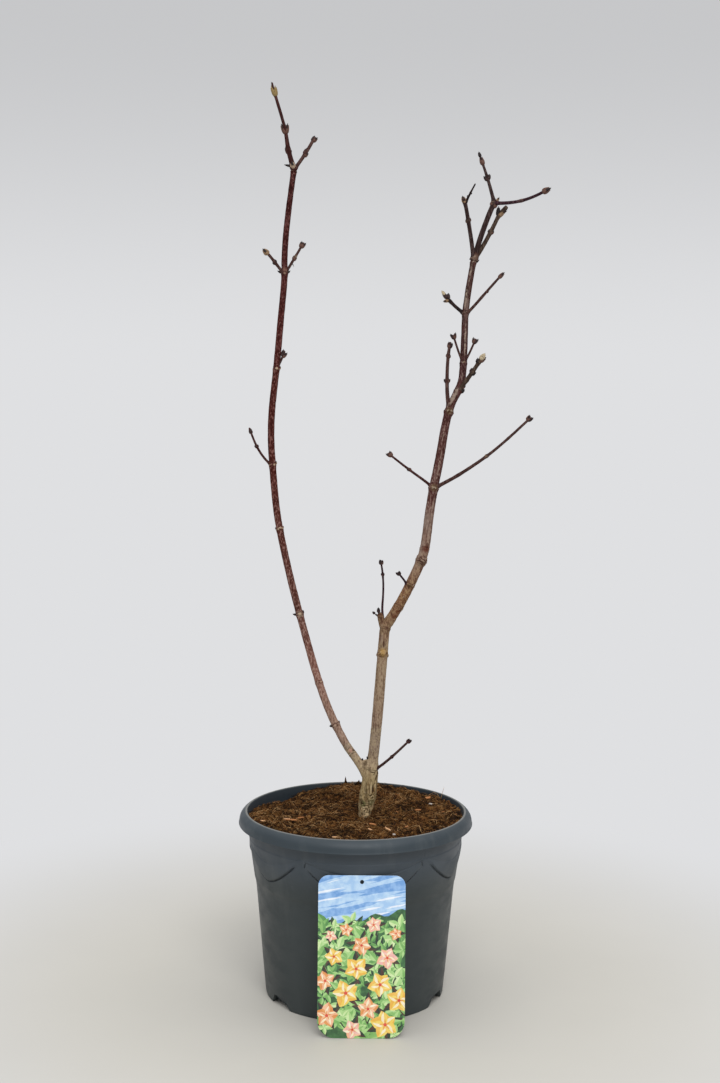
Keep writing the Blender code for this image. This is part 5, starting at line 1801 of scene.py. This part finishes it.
def add_clouds(shapes, draw):
    """Slanting bands of pale blue over the sky, and a few thin clouds in front of them."""
    for k in range(CLOUDS):
        x = draw.uniform(-0.080, 0.030)
        z = 0.184 - 0.050 * k / CLOUDS + draw.uniform(-0.002, 0.002)
        leaf(shapes, x, z, CLOUD_SLANT + draw.uniform(-0.04, 0.04), draw.uniform(0.040, 0.080),
             draw.uniform(0.0030, 0.0075), ("pale_blue",) * 2)
        if k % 3 == 0:
            leaf(shapes, x + 0.010, z + 0.0008, CLOUD_SLANT, draw.uniform(0.025, 0.045), 0.0026,
                 ("cloud",) * 2)


def add_hillside(shapes, draw):
    """A dark hill with a ragged skyline, under leaves that come lower and nearer."""
    skyline = [(HILL_HALF * (k / 10 - 1), 0.128 + 0.0010 * k + 0.0030 * math.sin(1.1 * k))
               for k in range(21)]
    shapes.append(([(HILL_HALF, -0.002)] + skyline[::-1] + [(-HILL_HALF, -0.002)], "deep_green"))
    for k in range(LEAF_WHORLS):
        x = draw.uniform(-HILL_HALF, HILL_HALF)
        z = (1 - k / LEAF_WHORLS) * (0.129 + 0.15 * (x + HILL_HALF))
        first = draw.uniform(0, 360)
        if k % 2:
            whorl(shapes, draw, x, z, 0.015, (("night", "deep_green"),), first + 30, 3, 0.40)
        bright = GREENS[:2] if k % 3 else GREENS[2:]
        whorl(shapes, draw, x, z, draw.uniform(0.010, 0.018), bright, first, draw.choice((3, 4, 5)),
              draw.uniform(0.40, 0.62))


def add_blossoms(shapes, draw):
    for x, z, size, kind in BLOSSOMS:
        whorl(shapes, draw, x, z, size * 1.45, (("night", "stalk"),), draw.uniform(0, 360), 4, 0.40)
        whorl(shapes, draw, x, z, size * 1.35, GREENS[:2], draw.uniform(0, 360), 3, 0.36)
        first = draw.uniform(0, 72)
        for reach, slimness, tints in PETALS[kind]:
            whorl(shapes, draw, x, z, size * reach, (tints,), first, 5, slimness)
        shapes.append((circle(x, z, size * 0.12, 10), "red"))


def card_shapes():
    """Every printed shape as an outline and a tint, from the back of the picture to its front."""
    draw = random.Random(9)
    shapes = []
    add_clouds(shapes, draw)
    add_hillside(shapes, draw)
    add_blossoms(shapes, draw)
    return shapes


def card_cells(shapes):
    """The card's face cut into flat cells, as their corners and each cell's corner numbers and tint."""
    hole = circle(0.0, CARD_LENGTH - CARD_HOLE_DROP, CARD_HOLE / 2)
    loops = [rounded_outline()] + [outline for outline, _ in shapes] + [hole]
    corners = []
    faces = []
    for loop in loops:
        faces.append(list(range(len(corners), len(corners) + len(loop))))
        corners.extend(Vector(corner) for corner in loop)
    flat, _, cells, _, _, owners = geometry.delaunay_2d_cdt(corners, [], faces, 1, 1e-7)
    tints = ["sky"] + [tint for _, tint in shapes]
    last = len(loops) - 1
    kept = [(cell, tints[max(owner)]) for cell, owner in zip(cells, owners)
            if 0 in owner and last not in owner]
    used = sorted({i for cell, _ in kept for i in cell})
    number = {i: k for k, i in enumerate(used)}
    return [flat[i] for i in used], [([number[i] for i in cell], tint) for cell, tint in kept]


def make_card():
    """The card leaning on the pot's wall, printed on its front and plain behind and along its edges."""
    reach = -CARD_FOOT - read_section(WALL_SECTION, CARD_LENGTH) - CARD_THICKNESS - CARD_GAP
    lean = math.asin(reach / CARD_LENGTH)
    place = (Matrix.Translation((CARD_CENTRE, CARD_FOOT, CARD_THICKNESS / 2 * math.sin(lean)))
             @ Matrix.Rotation(-lean, 4, "X"))
    flat, cells = card_cells(card_shapes())
    count = len(flat)
    tints = list(CARD_TINTS)
    back = tints.index("back")
    faces = []
    shades = []
    edges = set()
    for cell, tint in cells:
        faces += [tuple(cell), tuple(i + count for i in reversed(cell))]
        shades += [tints.index(tint), back]
        edges.update(zip(cell, cell[1:] + cell[:1]))
    rim = [(b, a, a + count, b + count) for a, b in sorted(edges) if (b, a) not in edges]
    soup = Soup()
    soup.add([place @ Vector((corner.x, side * CARD_THICKNESS / 2, corner.y))
              for side in (-1, 1) for corner in flat], faces + rim)
    soup.shades = shades + [back] * len(rim)
    finishes = [card_tint(name, *CARD_TINTS[name]) for name in tints]
    soup.piece("printed_card", finishes, ("picture_card",), sharp=30)


make_camera()
make_floor()
make_light()
make_pot()
make_soil()
make_plant()
make_card()
